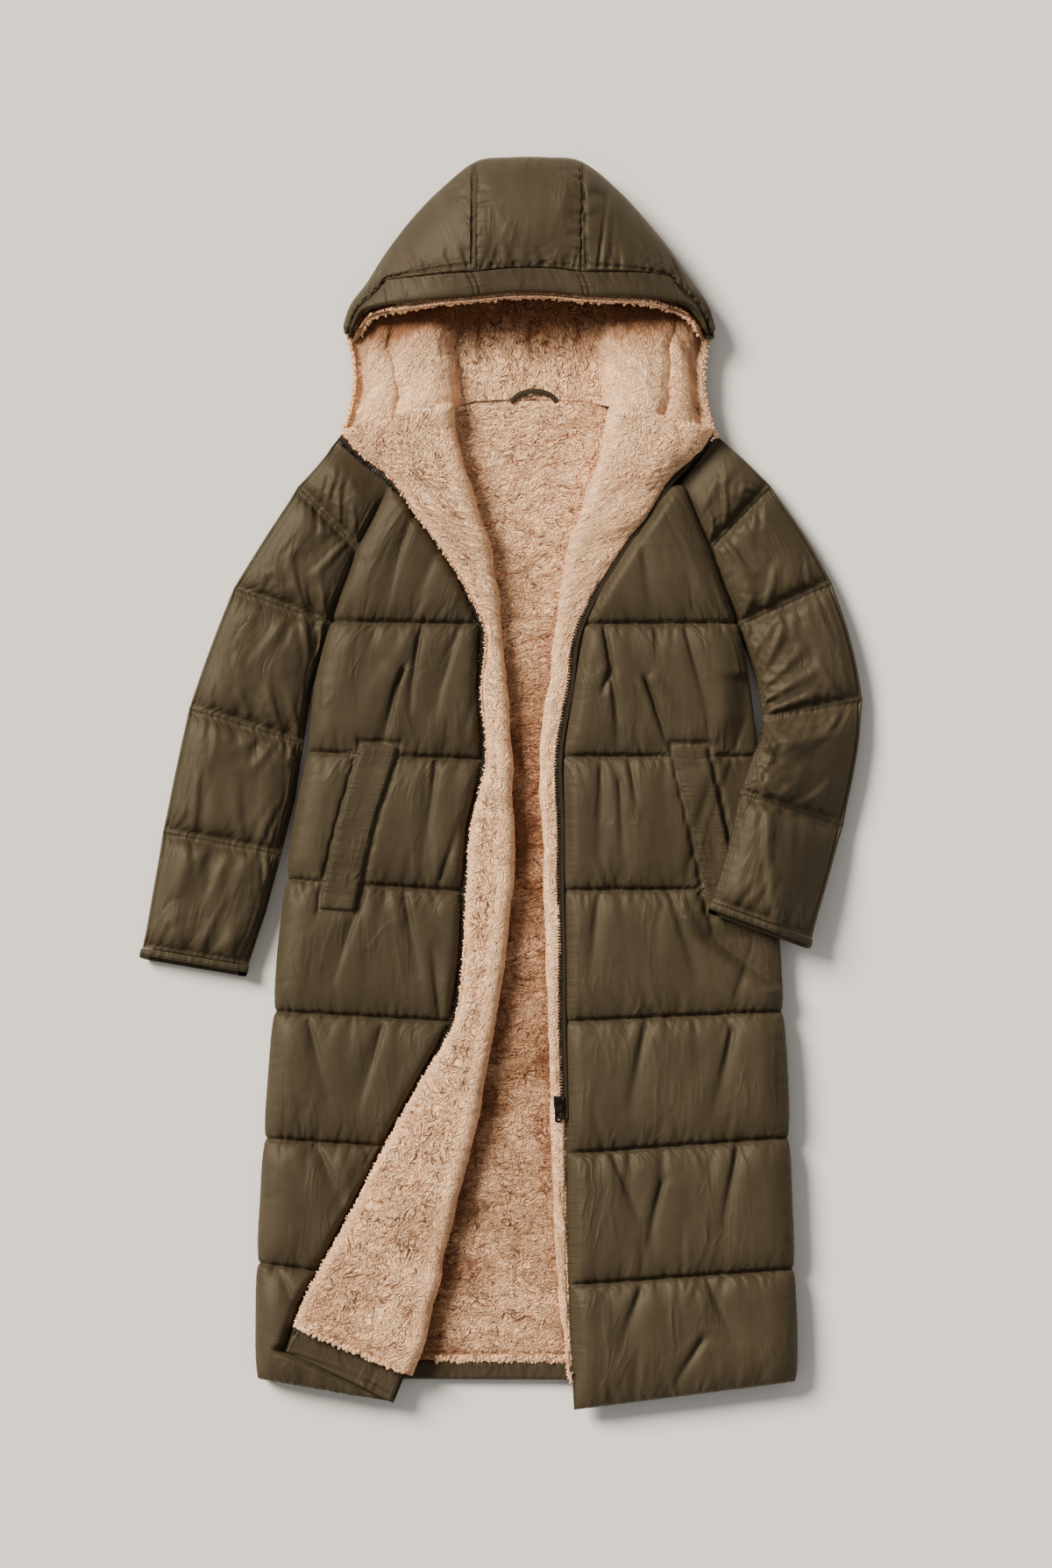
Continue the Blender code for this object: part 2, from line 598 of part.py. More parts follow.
def sleeve(side, table, body, surface):
    """Sleeve from the neck to the cuff seam, and the cuff hem beyond it."""
    channel = channel_rows(0.0, 5.0, SLEEVE_RAGLAN_ROWS)
    outer, inner = sleeve_rings(table, channel, body)
    wall("sleeve_" + side, outer, inner, surface)
    along = outer[-1] - outer[-4]
    along[:, 2] = 0
    along = along.mean(axis=0) / np.linalg.norm(along.mean(axis=0))
    steps = np.array((GAP, CUFF_LENGTH / 2, CUFF_LENGTH))
    swell = np.array((0.0, 1.0, 0.3)) * CUFF_SWELL
    skin = outer[-1][None] + along * steps[:, None, None]
    core = inner[-1][None] + along * steps[:, None, None]
    middle = skin.mean(axis=1, keepdims=True)
    skin = skin + (skin - middle) * np.array((0, 0, 1)) * swell[:, None, None]
    skin[..., 2] = np.maximum(skin[..., 2], 0)
    wall("cuff_" + side, skin, core, surface)


def hood_outline():
    """Outline of the flattened hood, from neck to neck round the crown."""
    crown = hood_plan("rim", np.linspace(*HOOD_ENDS, OUTLINE_SAMPLES))
    down = np.linspace(0, 1, NECK_SAMPLES)
    right = hood_floor(np.array(HOOD_ENDS[:1]), down)[::-1, 0]
    left = hood_floor(np.array(HOOD_ENDS[1:]), down)[:, 0]
    return np.concatenate([right[:-1], crown, left[1:]])


def hood_plan(which, station):
    """Plan points of one named line of the hood."""
    return np.stack([read(HOOD, HOOD_COLUMNS, which + "_x", station),
                     read(HOOD, HOOD_COLUMNS, which + "_y", station)], -1)


def neck_line(x):
    """How far up the coat the neck seam of the hood runs at each x."""
    neck = np.array(HOOD, dtype=float)[:, 5:7]
    return np.interp(x, neck[:, 0], neck[:, 1])


def hood_floor(station, down):
    """Plan points of the layer on the surface, from the outline down to the neck."""
    rim = hood_plan("rim", station)[None]
    neck = hood_plan("neck", station)[None]
    plan = rim + (neck - rim) * down[:, None, None]
    plan[..., 0] += read(HOOD, HOOD_COLUMNS, "bow", station)[None] * np.sin(np.pi * down)[:, None]
    return plan


def inside(plan, outline):
    """Distance of plan points from the outline, and the way that leads inward."""
    first = outline[:-1]
    step = outline[1:] - first
    offset = plan[..., None, :] - first
    part = np.clip((offset * step).sum(-1) / (step ** 2).sum(-1), 0, 1)
    away = offset - step * part[..., None]
    distance = np.linalg.norm(away, axis=-1)
    normal = np.stack([step[:, 1], -step[:, 0]], -1)
    pull = 1 / (distance + OUTLINE_BLUR) ** 3
    inward = (pull[..., None] * normal).sum(-2)
    inward = inward / np.linalg.norm(inward, axis=-1, keepdims=True)
    return distance.min(-1), inward


def hood_skin(plan, station, outline, depth, roof):
    """Points of a hood layer a given depth in from the outside of the shell."""
    reach, inward = inside(plan, outline)
    size = HOOD_DOME if roof else HOOD_FLOOR_ROUND
    rise = HOOD_RISE if roof else HOOD_EDGE_Z
    curve = 1 - np.clip(reach / size, 0, 1)
    level = np.sqrt(1 - curve ** 2)
    lean = rise / size * curve
    length = np.maximum(np.hypot(lean, level), 1e-9)
    shift = depth * lean / length
    drop = depth * level / length
    beside_seam = np.abs(station[:, None] - np.array(HOOD_SEAMS)).min(axis=1)
    inward = inward * np.stack([np.clip(beside_seam * 2, 0, 1), beside_seam * 0 + 1], -1)
    inward = inward / np.linalg.norm(inward, axis=-1, keepdims=True)
    spot = plan + inward * shift[..., None]
    if roof:
        height = HOOD_EDGE_Z + rise * level - drop
    else:
        arch = np.maximum(read(HOOD, HOOD_COLUMNS, "arch", station), 0)[None]
        fade = 1 - eased((plan[..., 1] - ARCH_END[0]) / (ARCH_END[1] - ARCH_END[0]))
        height = HOOD_EDGE_Z - rise * level + drop + arch * fade
    return np.concatenate([spot, height[..., None]], -1)


def hood_grid(station, outline, depth, from_brim, show=0.0):
    """Hood layer from the brim over the crown and down to the neck."""
    brim = hood_plan("brim", station)
    rim = hood_plan("rim", station)
    length = np.linalg.norm(rim - brim, axis=-1)
    band = np.minimum(BRIM_WIDTH, length / 2) / length
    start = band * from_brim
    roof_parts = start[None] + (1 - start[None]) * np.array(ROOF_STATIONS)[:, None]
    plan = brim[None] + (rim - brim)[None] * roof_parts[..., None]
    if show:
        lead = np.stack([-show / length, band * 0, band])
        front = brim[None] + (rim - brim)[None] * lead[..., None]
        rest = band[None] + (1 - band[None]) * np.array(ROOF_STATIONS[1:])[:, None]
        plan = np.concatenate([front, brim[None] + (rim - brim)[None] * rest[..., None]])
    top = hood_skin(plan, station, outline, depth, True)
    under = hood_skin(hood_floor(station, np.array(FLOOR_STATIONS)), station, outline,
                      depth, False)
    return np.concatenate([top, under])


def hood(shell, fleece):
    """Centre panel, side panels, edge band and lining of the hood."""
    outline = hood_outline()
    seam = HOOD_SEAM_GAP / 2 / CENTRE_WIDTH
    parts = (
        ("hood_side_right", RIGHT_SIDE_STATIONS + (HOOD_SEAMS[0] - seam,)),
        ("hood_centre", (HOOD_SEAMS[0] + seam,) + CENTRE_STATIONS + (HOOD_SEAMS[1] - seam,)),
        ("hood_side_left", (HOOD_SEAMS[1] + seam,) + LEFT_SIDE_STATIONS),
    )
    for name, stations in parts:
        station = np.array(stations)
        depth = read(HOOD, HOOD_COLUMNS, "shell", station)[None]
        outer = hood_grid(station, outline, depth * 0, 1.0)
        inner = hood_grid(station, outline, depth, 1.0)
        for grid in (outer, inner):
            grid[-1, :, 1] = neck_line(grid[-1, :, 0])
        wall(name, outer, inner, shell)
    station = np.array(RIGHT_SIDE_STATIONS + HOOD_SEAMS[:1] + CENTRE_STATIONS
                       + HOOD_SEAMS[1:] + LEFT_SIDE_STATIONS)
    brim = hood_plan("brim", station)
    rim = hood_plan("rim", station)
    length = np.linalg.norm(rim - brim, axis=-1)
    band = np.minimum(BRIM_WIDTH, length / 2) / length
    steps = np.array(BAND_STATIONS)[:, None] * (band - BRIM_SEAM / length)[None]
    plan = brim[None] + (rim - brim)[None] * steps[..., None]
    depth = np.minimum(read(HOOD, HOOD_COLUMNS, "shell", station), BRIM_THICK)[None]
    wall("hood_brim", hood_skin(plan, station, outline, depth * 0, True),
         hood_skin(plan, station, outline, depth, True), shell)
    depth = read(HOOD, HOOD_COLUMNS, "shell", station)[None] + HOOD_GAP
    outer = hood_grid(station, outline, depth, 0.0, BRIM_SHOW)
    inner = hood_grid(station, outline, depth + HOOD_LINING, 0.0, BRIM_SHOW)
    for grid in (outer, inner):
        grid[-1, :, 1] = neck_line(grid[-1, :, 0])
    wall("hood_lining", outer, inner, fleece)


def back_panel(surface):
    """Back of the coat: flat underneath, curling up to the side seams."""
    channel = np.array(BACK_ROWS)
    right = np.stack([straight(BACK, BACK_COLUMNS, "right_x", channel),
                      straight(BACK, BACK_COLUMNS, "right_y", channel)], -1)
    left = np.stack([straight(BACK, BACK_COLUMNS, "left_x", channel),
                     straight(BACK, BACK_COLUMNS, "left_y", channel)], -1)
    width = (left - right)[:, :1]
    side_steps = np.array(BACK_CURL) * BACK_ROUND / width
    across = np.concatenate([side_steps, width * 0 + np.array(BACK_ACROSS),
                             1 - side_steps[:, ::-1]], 1)
    plan = right[:, None] + (left - right)[:, None] * across[..., None]
    plan[-1, :, 1] = neck_line(plan[-1, :, 0]) - HOOD_SEAM_GAP
    near = np.minimum(across, 1 - across) * width
    raglan = np.clip((channel - RAGLAN_CHANNEL) / RAGLAN_RISE, 0, 1)[:, None]
    skin = SIDE_SEAM_Z * (1 - rounded(near / BACK_ROUND)) * (1 - raglan)
    curl = (1 - np.clip(near / BACK_ROUND, 0, 1)) * (1 - raglan)
    lining = BACK_SHELL + (SIDE_SEAM_Z - BACK_SHELL) * curl
    inner_plan = plan.copy()
    toward = np.sign(0.5 - across)
    inner_plan[..., 0] += toward * SEAM_WALL * curl
    wall("back_panel", np.concatenate([plan, skin[..., None]], -1),
         np.concatenate([inner_plan, lining[..., None]], -1), surface)


def back_lining(fleece, surface):
    """Fleece over the back, and the shell's own hem turned up below it."""
    channel = np.array(BACK_ROWS)
    across = np.linspace(0, 1, LINING_COLUMNS)
    right = np.stack([straight(BACK, BACK_COLUMNS, "right_x", channel) + BACK_EDGE_INSET,
                      straight(BACK, BACK_COLUMNS, "right_y", channel)], -1)
    left = np.stack([straight(BACK, BACK_COLUMNS, "left_x", channel) - BACK_EDGE_INSET,
                     straight(BACK, BACK_COLUMNS, "left_y", channel)], -1)
    plan = right[:, None] + (left - right)[:, None] * across[None, :, None]
    plan[-1, :, 1] = neck_line(plan[-1, :, 0]) - HOOD_SEAM_GAP
    plan[0, :, 1] += HEM_FACING_WIDTH + GAP
    level = plan[..., :1] * 0 + BACK_LINING_Z
    wall("back_lining", np.concatenate([plan, level], -1),
         np.concatenate([plan, level + LINING], -1), fleece)
    strip = np.stack([plan[0], plan[0]])
    strip[0, :, 1] -= HEM_FACING_WIDTH
    strip[1, :, 1] -= GAP
    level = strip[..., :1] * 0 + BACK_LINING_Z
    wall("hem_facing_back", np.concatenate([strip, level], -1),
         np.concatenate([strip, level + HEM_FACING_THICK], -1), surface)


def corner_facing(surface):
    """Hem strip that shows along the foot of the turned-back corner."""
    channel = np.array(CORNER_ROWS)
    edge = ends(FRONT_RIGHT, channel, "edge")
    level = FRONT_SHELL_Z + EDGE_THICK + GAP + TURNED_THICK + GAP
    centre = fold_line(FRONT_RIGHT, FLEECE_RIGHT, channel)[0]
    across = np.linspace(0, 1, CORNER_COLUMNS)
    plan = centre[:, None] + (edge - centre)[:, None] * across[None, :, None]
    spot = np.concatenate([plan, plan[..., :1] * 0 + level], -1)
    top = spot + np.array([0, 0, HEM_FACING_THICK])
    wall("hem_facing_right", top, spot, surface)


def welt(name, table, shell, lift, surface):
    """Pocket welt lying on a front: the panel's own points moved out."""
    channel, across, outer = shell
    low = table[0][0]
    high = table[1][0]
    rows = np.concatenate([[low], channel[(channel > low) & (channel < high)], [high]])
    panel = outer[:, :len(across)]
    grid = np.stack([[np.interp(rows, channel, panel[:, column, axis])
                      for axis in range(3)] for column in range(len(across))])
    grid = grid.transpose(2, 0, 1)
    first = straight(table, WELT_COLUMNS, "outer", rows)
    last = straight(table, WELT_COLUMNS, "inner", rows)
    steps = np.linspace(0, 1, WELT_POINTS)
    bottom = np.empty((len(rows), len(steps), 3))
    for row in range(len(rows)):
        spots = first[row] + (last[row] - first[row]) * steps
        for axis in range(3):
            bottom[row, :, axis] = np.interp(spots, across, grid[row, :, axis])
    bottom[..., 2] += lift
    top = bottom + np.array([0, 0, WELT_THICK])
    wall(name, top, bottom, surface)


def tape(name, table, heights, inward, span, out, over, above, surface):
    """Zip tape beside an edge: a thin strip that follows the table's edge line."""
    channel = channel_rows(span[0], span[1], FRONT_RAGLAN_ROWS)
    edge = ends(table, channel, "edge")
    way = np.gradient(edge, axis=0)
    way = way / np.linalg.norm(way, axis=-1, keepdims=True)
    beside = np.stack([-way[:, 1], way[:, 0]], -1) * inward
    level = np.maximum(straight(heights, FLEECE_COLUMNS, "edge_z", channel) + above,
                       FRONT_SHELL_Z + SEAM_THICK + TAPE_CLEAR)
    strip = np.stack([edge + beside * out, edge + beside * over], 1)
    base = np.concatenate([strip, np.stack([level, level], 1)[..., None]], -1)
    wall(name, base + np.array([0, 0, TAPE_THICK]), base, surface)


def prism(name, outline, width, surface):
    """Closed shape with the given outline (y, z) and a width along X, in millimetres."""
    count = len(outline)
    ring = np.array(outline, dtype=float)
    sides = [np.column_stack([np.full(count, place), ring]) for place in (-width / 2, width / 2)]
    around = [(i, (i + 1) % count, (i + 1) % count + count, i + count) for i in range(count)]
    faces = around + [tuple(range(count))[::-1], tuple(range(count, 2 * count))]
    return solid(name, np.concatenate(sides) * MM, faces, surface)


def join(base, other, operation):
    """Exact Boolean of two objects; the second one is used up."""
    modifier = base.modifiers.new("cut", "BOOLEAN")
    modifier.operation = operation
    modifier.solver = "EXACT"
    modifier.object = other
    bpy.context.view_layer.update()
    result = base.evaluated_get(bpy.context.evaluated_depsgraph_get())
    mesh = bpy.data.meshes.new_from_object(result)
    base.modifiers.clear()
    base.data = mesh
    bpy.data.objects.remove(other, do_unlink=True)


def moved(item, place):
    """Puts a finished small part in its place by its points, origin left at zero."""
    points = np.empty(len(item.data.vertices) * 3)
    item.data.vertices.foreach_get("co", points)
    points = points.reshape(-1, 3) + np.array(place) * MM
    item.data.vertices.foreach_set("co", points.ravel())
    item.data.update()


def slider_and_pull(metal):
    """Slider fixed on the left tape, with a pull tab that swings under its bail."""
    half_length = SLIDER_SIZE[1] / 2
    height = SLIDER_SIZE[2]
    foot_cut = SLIDER_FOOT_CUT
    back_cut, down_cut = SLIDER_TOP_CUT
    profile = ((-half_length, foot_cut), (-half_length + foot_cut, 0.0),
               (half_length - foot_cut, 0.0), (half_length, foot_cut),
               (half_length, height - down_cut), (half_length - back_cut, height),
               (-half_length + back_cut, height), (-half_length, height - down_cut))
    body = prism("zip_slider", profile, SLIDER_SIZE[0], metal)
    taper = np.empty(len(body.data.vertices) * 3)
    body.data.vertices.foreach_get("co", taper)
    taper = taper.reshape(-1, 3)
    wider = 1 + (SLIDER_TOP_WIDTH / SLIDER_SIZE[0] - 1) * (taper[:, 1] / MM > 0)
    taper[:, 0] *= wider
    body.data.vertices.foreach_set("co", taper.ravel())
    bar_z = height + BAIL_HEIGHT
    bow = np.radians(np.linspace(0, 180, BAIL_POINTS))
    outside = [(BAIL_OUTER * np.cos(a), bar_z + BAIL_OUTER * np.sin(a)) for a in bow]
    within = [(BAIL_INNER * np.cos(a), bar_z + BAIL_INNER * np.sin(a)) for a in bow[::-1]]
    foot = height - BAIL_ROOT
    loop = ([(BAIL_OUTER, foot)] + outside + [(-BAIL_OUTER, foot), (-BAIL_INNER, foot)]
            + within + [(BAIL_INNER, foot)])
    bail = prism("bail", loop, BAIL_WIDTH, metal)
    join(body, bail, "UNION")
    base_z = FRONT_SHELL_Z + EDGE_THICK + GAP + TAPE_THICK + GAP
    moved(body, (SLIDER_AT[0], SLIDER_AT[1], base_z))

    width, length, thick = PULL_SIZE
    plate = ((PULL_BAR, -thick / 2), (PULL_BAR, thick / 2),
             (PULL_BAR - length, thick / 2), (PULL_BAR - length, -thick / 2))
    tab = prism("zip_pull", plate, width - 2 * PULL_NOSE, metal)
    near = PULL_BAR - PULL_NOSE
    far = PULL_BAR - length + PULL_NOSE
    broad = ((near, -thick / 2), (near, thick / 2), (far, thick / 2), (far, -thick / 2))
    join(tab, prism("broad", broad, width, metal), "UNION")
    window = ((-PULL_BAR, -thick), (-PULL_BAR, thick),
              (-PULL_BAR - PULL_WINDOW[1], thick), (-PULL_BAR - PULL_WINDOW[1], -thick))
    join(tab, prism("window", window, PULL_WINDOW[0], metal), "DIFFERENCE")
    low = PULL_BAR - length + PULL_SLOT_FROM
    slot = ((low + PULL_SLOT[1], -thick), (low + PULL_SLOT[1], thick), (low, thick),
            (low, -thick))
    join(tab, prism("slot", slot, PULL_SLOT[0], metal), "DIFFERENCE")
    points = np.empty(len(tab.data.vertices) * 3)
    tab.data.vertices.foreach_get("co", points)
    points = points.reshape(-1, 3)
    droop = np.radians(PULL_DROOP)
    y = points[:, 1].copy()
    z = points[:, 2].copy()
    points[:, 1] = y * np.cos(droop) - z * np.sin(droop)
    points[:, 2] = y * np.sin(droop) + z * np.cos(droop)
    tab.data.vertices.foreach_set("co", points.ravel())
    tab.data.update()
    tab.location = (SLIDER_AT[0] * MM, SLIDER_AT[1] * MM, (base_z + bar_z) * MM)


def hang_loop(surface):
    """Flat loop of shell cloth sewn in at the back neck."""
    path = np.array(LOOP_PATH)
    way = np.gradient(path, axis=0)
    way = way / np.linalg.norm(way, axis=-1, keepdims=True)
    beside = np.stack([-way[:, 1], way[:, 0]], -1) * LOOP_WIDTH / 2
    level = BACK_LINING_Z + LINING + LOOP_LIFT
    strip = np.stack([path - beside, path + beside], 1)
    base = np.concatenate([strip, strip[..., :1] * 0 + level], -1)
    wall("hang_loop", base + np.array([0, 0, LOOP_THICK]), base, surface)


def build():
    """Every piece of the coat."""
    for item in list(bpy.data.objects):
        bpy.data.objects.remove(item, do_unlink=True)
    shell = material("olive_satin_nylon", SHELL_COLOUR, 0.42)
    fleece = material("peach_sherpa_fleece", FLEECE_COLOUR, 0.95)
    webbing = material("dark_zip_tape", TAPE_COLOUR, 0.8)
    metal = material("blackened_brass", METAL_COLOUR, 0.35, 0.9)
    back_panel(shell)
    back_lining(fleece, shell)
    right = front_shell("front_right", FRONT_RIGHT, FLEECE_RIGHT, 1, shell, turned=True)
    left = front_shell("front_left", FRONT_LEFT, FLEECE_LEFT, -1, shell, press=PRESS_LEFT)
    front_lining("front_lining_right", FRONT_RIGHT, FLEECE_RIGHT, 1, RIGHT_FLEECE_FROM, fleece)
    front_lining("front_lining_left", FRONT_LEFT, FLEECE_LEFT, -1, LEFT_FLEECE_FROM, fleece)
    corner_facing(shell)
    welt("pocket_welt_right", WELT_RIGHT, right, WELT_RIGHT_LIFT, shell)
    welt("pocket_welt_left", WELT_LEFT, left, WELT_LEFT_LIFT, shell)
    body = np.array(FRONT_LEFT, dtype=float)[:13][:, [2, 1]]
    sleeve("right", SLEEVE_RIGHT, body, shell)
    sleeve("left", SLEEVE_LEFT, body, shell)
    hood(shell, fleece)
    tape("zip_tape_right", FRONT_RIGHT, FLEECE_RIGHT, 1, (TAPE_RIGHT_FROM, NECK_CHANNEL),
         TAPE_OUT, 2 * GAP, TAPE_RIGHT_ABOVE, webbing)
    tape("zip_tape_left", FRONT_LEFT, FLEECE_LEFT, -1, (TAPE_LEFT_FROM, TAPE_LEFT_TO),
         TAPE_ON_SHELL, -TAPE_OVER_FLEECE, TAPE_LEFT_ABOVE, webbing)
    slider_and_pull(metal)
    hang_loop(webbing)


build()
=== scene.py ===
"""Looks of a long hooded puffer coat that lies open on its back.

Tables are in millimetres, one row for each quilting seam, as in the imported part's source.
+X runs to the wearer's left, +Y from hem to hood, +Z up from the surface it lies on.
Each piece is a surface worked out on a grid of points, rows up the coat, columns across.
"""

import bpy
import numpy as np
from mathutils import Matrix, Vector


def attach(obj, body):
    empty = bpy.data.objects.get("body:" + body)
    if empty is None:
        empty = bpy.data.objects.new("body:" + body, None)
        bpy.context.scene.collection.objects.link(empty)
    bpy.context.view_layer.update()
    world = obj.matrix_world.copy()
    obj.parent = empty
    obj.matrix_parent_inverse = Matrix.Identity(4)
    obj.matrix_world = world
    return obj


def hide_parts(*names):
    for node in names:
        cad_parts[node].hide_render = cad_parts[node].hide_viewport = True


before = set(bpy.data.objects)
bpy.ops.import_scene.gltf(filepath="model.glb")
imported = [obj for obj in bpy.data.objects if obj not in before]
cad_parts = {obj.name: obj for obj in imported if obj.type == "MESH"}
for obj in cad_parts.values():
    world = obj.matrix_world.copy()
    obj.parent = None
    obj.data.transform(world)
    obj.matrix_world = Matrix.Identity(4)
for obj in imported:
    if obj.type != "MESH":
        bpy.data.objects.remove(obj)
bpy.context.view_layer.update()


# ---------------------------------------------------------------- floor, light, camera
# A plain pale surface, one wide soft light from the upper left and an even pale sky.
# The camera looks straight down on the coat from far off, so nothing leans outward.
MM = 0.001
VIEW_HEIGHT = 1.8427
CAMERA_PLACE = (0.0278, -0.0005, 11.0)
CAMERA_REACH = 40.0
SENSOR_MM = 36.0
FLOOR_HALF_MM = 9000.0
FLOOR_HEX = "#e6dfd4"
FLOOR_SHADE_HEX = "#e0d9cd"
KEY_FROM = (-0.80, 0.62, 0.80)
KEY_ANGLE = 24.0
KEY_STRENGTH = 7.8
KEY_COLOUR = (1.0, 0.955, 0.89)
SKY_COLOUR = (0.97, 0.97, 1.0, 1.0)
SKY_STRENGTH = 0.46


def linear(hex_colour):
    """sRGB hex to linear: c / 12.92 below 0.04045, else ((c + 0.055) / 1.055)^2.4."""
    parts = np.array([int(hex_colour[i:i + 2], 16) / 255 for i in (1, 3, 5)])
    curve = np.where(parts <= 0.04045, parts / 12.92, ((parts + 0.055) / 1.055) ** 2.4)
    return (*curve.tolist(), 1.0)


def set_inputs(tree, node, inputs):
    """Gives a node its inputs: another node's output is linked, anything else is a value."""
    for name, value in dict(inputs).items():
        if isinstance(value, bpy.types.NodeSocket):
            tree.links.new(value, node.inputs[name])
        else:
            node.inputs[name].default_value = value


def add_node(tree, kind, inputs=(), **settings):
    """Adds one shader node with its settings and inputs, and gives its outputs."""
    node = tree.nodes.new("ShaderNode" + kind)
    for name, value in settings.items():
        setattr(node, name, value)
    set_inputs(tree, node, inputs)
    return node.outputs


def maths(tree, operation, *values):
    """One sum over values and outputs."""
    return add_node(tree, "Math", dict(enumerate(values)), operation=operation)[0]


def noise(tree, place, scale, detail, **more):
    """Noise from 0 to 1 over a place."""
    return add_node(tree, "TexNoise", {"Vector": place, "Scale": scale, "Detail": detail,
                                       **more})["Fac"]


def stretched(tree, place, scale, turn=0.0):
    """A place turned in its plane and stretched."""
    return add_node(tree, "Mapping", {"Vector": place, "Scale": scale,
                                      "Rotation": (0.0, 0.0, turn)})["Vector"]


def ramp(tree, source, *stops):
    """Hex colours at places from 0 to 1 along an output, blended from one to the next."""
    colour = add_node(tree, "ValToRGB", {"Fac": source})["Color"]
    band = colour.node.color_ramp.elements
    band[0].position, band[1].position = stops[0][0], stops[-1][0]
    for place, _ in stops[1:-1]:
        band.new(place)
    for step, (_, hex_colour) in zip(band, stops):
        step.color = linear(hex_colour)
    return colour


def ridges(tree, waves, width, height):
    """Soft lines where a noise passes its middle: height (1 - step(|n - 0.5| / width))."""
    away = maths(tree, "ABSOLUTE", maths(tree, "SUBTRACT", waves, 0.5))
    return add_node(tree, "MapRange", {"Value": away, "From Max": width, "To Min": height,
                                       "To Max": 0.0}, interpolation_type="SMOOTHSTEP")["Result"]


def new_material(name):
    """Empty node material with its Principled shader, as (material, tree, shader)."""
    made = bpy.data.materials.new(name)
    made.use_nodes = True
    return made, made.node_tree, made.node_tree.nodes["Principled BSDF"]


def mottled(name, scale, detail, stops, rough, metallic=0.0):
    """Material whose colour drifts between hex stops with a noise over its place; a pair of
    roughnesses drifts with it."""
    made, tree, shader = new_material(name)
    drift = noise(tree, add_node(tree, "TexCoord")["Object"], scale, detail)
    if isinstance(rough, tuple):
        rough = add_node(tree, "MapRange", {"Value": drift, "To Min": rough[0],
                                            "To Max": rough[1]})["Result"]
    set_inputs(tree, shader, {"Base Color": ramp(tree, drift, *stops), "Roughness": rough,
                              "Metallic": metallic})
    return made


def placed(name, data):
    """New object in the scene."""
    made = bpy.data.objects.new(name, data)
    bpy.context.scene.collection.objects.link(made)
    return made


def grid_faces(rows, columns, facing=1):
    """Quads of a grid of points; facing is -1 where the columns run to -X instead of +X."""
    index = np.arange(rows * columns).reshape(rows, columns)[:, ::facing]
    return np.stack([index[:-1, :-1], index[:-1, 1:], index[1:, 1:], index[1:, :-1]],
                    -1).reshape(-1, 4)


def mesh_piece(name, points, faces, surface, uv=None, nap=None, sewn=None, parted=None):
    """New object at the origin from points in millimetres and four-cornered faces; uv maps
    the cloth, sewn the sewing: millimetres along the nearest sewn line and away from it."""
    points = np.asarray(points, dtype=float).reshape(-1, 3) * MM
    mesh = bpy.data.meshes.new(name)
    mesh.vertices.add(len(points))
    mesh.vertices.foreach_set("co", points.ravel())
    mesh.loops.add(faces.size)
    mesh.loops.foreach_set("vertex_index", faces.ravel().astype(np.int32))
    mesh.polygons.add(len(faces))
    mesh.polygons.foreach_set("loop_start", np.arange(0, faces.size, faces.shape[1]))
    mesh.polygons.foreach_set("use_smooth", np.ones(len(faces), dtype=bool))
    mesh.update(calc_edges=True)
    mesh.validate()
    for label, spread in (("cloth", uv), ("sewing", sewn)):
        if spread is not None:
            corner = np.asarray(spread, dtype=float).reshape(-1, 2)[faces.ravel()] * MM
            mesh.uv_layers.new(name=label).data.foreach_set("uv", corner.ravel())
    for label, values in (("nap", nap), ("parted", parted)):
        if values is not None:
            height = mesh.attributes.new(label, "FLOAT", "POINT")
            height.data.foreach_set("value", np.asarray(values, dtype=np.float32).ravel())
    mesh.materials.append(surface)
    return placed(name, mesh)


floor_paint = mottled("matt_plaster_floor", 2.6, 4.0,
                      ((0.3, FLOOR_SHADE_HEX), (0.7, FLOOR_HEX)), 0.9)
floor_corners = np.array([(-1, -1, 0), (1, -1, 0), (1, 1, 0), (-1, 1, 0)]) * FLOOR_HALF_MM
floor = mesh_piece("floor", floor_corners, np.array([[0, 1, 2, 3]]), floor_paint)

key_light = bpy.data.lights.new("key", "SUN")
key_light.energy = KEY_STRENGTH
key_light.angle = np.radians(KEY_ANGLE)
key_light.color = KEY_COLOUR
key = placed("key", key_light)
key.location = KEY_FROM
key.rotation_mode = "QUATERNION"
key.rotation_quaternion = Vector(KEY_FROM).to_track_quat("Z", "Y")

sky = bpy.data.worlds.new("sky")
sky.use_nodes = True
set_inputs(sky.node_tree, sky.node_tree.nodes["Background"],
           {"Color": SKY_COLOUR, "Strength": SKY_STRENGTH})
bpy.context.scene.world = sky

camera_data = bpy.data.cameras.new("camera")
camera_data.sensor_width = SENSOR_MM
camera_data.lens = SENSOR_MM * CAMERA_PLACE[2] / VIEW_HEIGHT
camera_data.clip_end = CAMERA_REACH
camera = placed("camera", camera_data)
camera.location = CAMERA_PLACE
bpy.context.scene.camera = camera


# ---------------------------------------------------------------- front shells
# The two fronts are padded nylon quilted to its padding in channels 160 mm apart.
# Each is sewn to the back at the side, to the sleeve at the raglan seam and to the
# zip at its edge. The right one goes on round a fold, because its corner lies turned.
GAP = 0.3
BACK_SHELL = 12.0
LINING = 4.5
BACK_LINING_Z = BACK_SHELL + GAP
FRONT_LINING_Z = BACK_LINING_Z + LINING + GAP
FRONT_SHELL_Z = FRONT_LINING_Z + LINING + GAP
SIDE_SEAM_Z = 20.0
SEAM_WALL = 3.0
SEAM_THICK = 5.0
SEAM_SHOWN = 9.0
CROWN_THICK = 21.0
EDGE_THICK = 7.0
TURNED_THICK = 5.0
SIDE_ROUND = 30.0
BASE_ROUND = 10.0
SEAM_TURN = 20.0
EDGE_SLOPE = 16.0
TURNED_EDGE_SLOPE = 11.0
EDGE_FLAT = 3.2
CHANNEL_SHOULDER = 2.6
SCALLOP = 2.6
CHANNEL_MM = 158.0
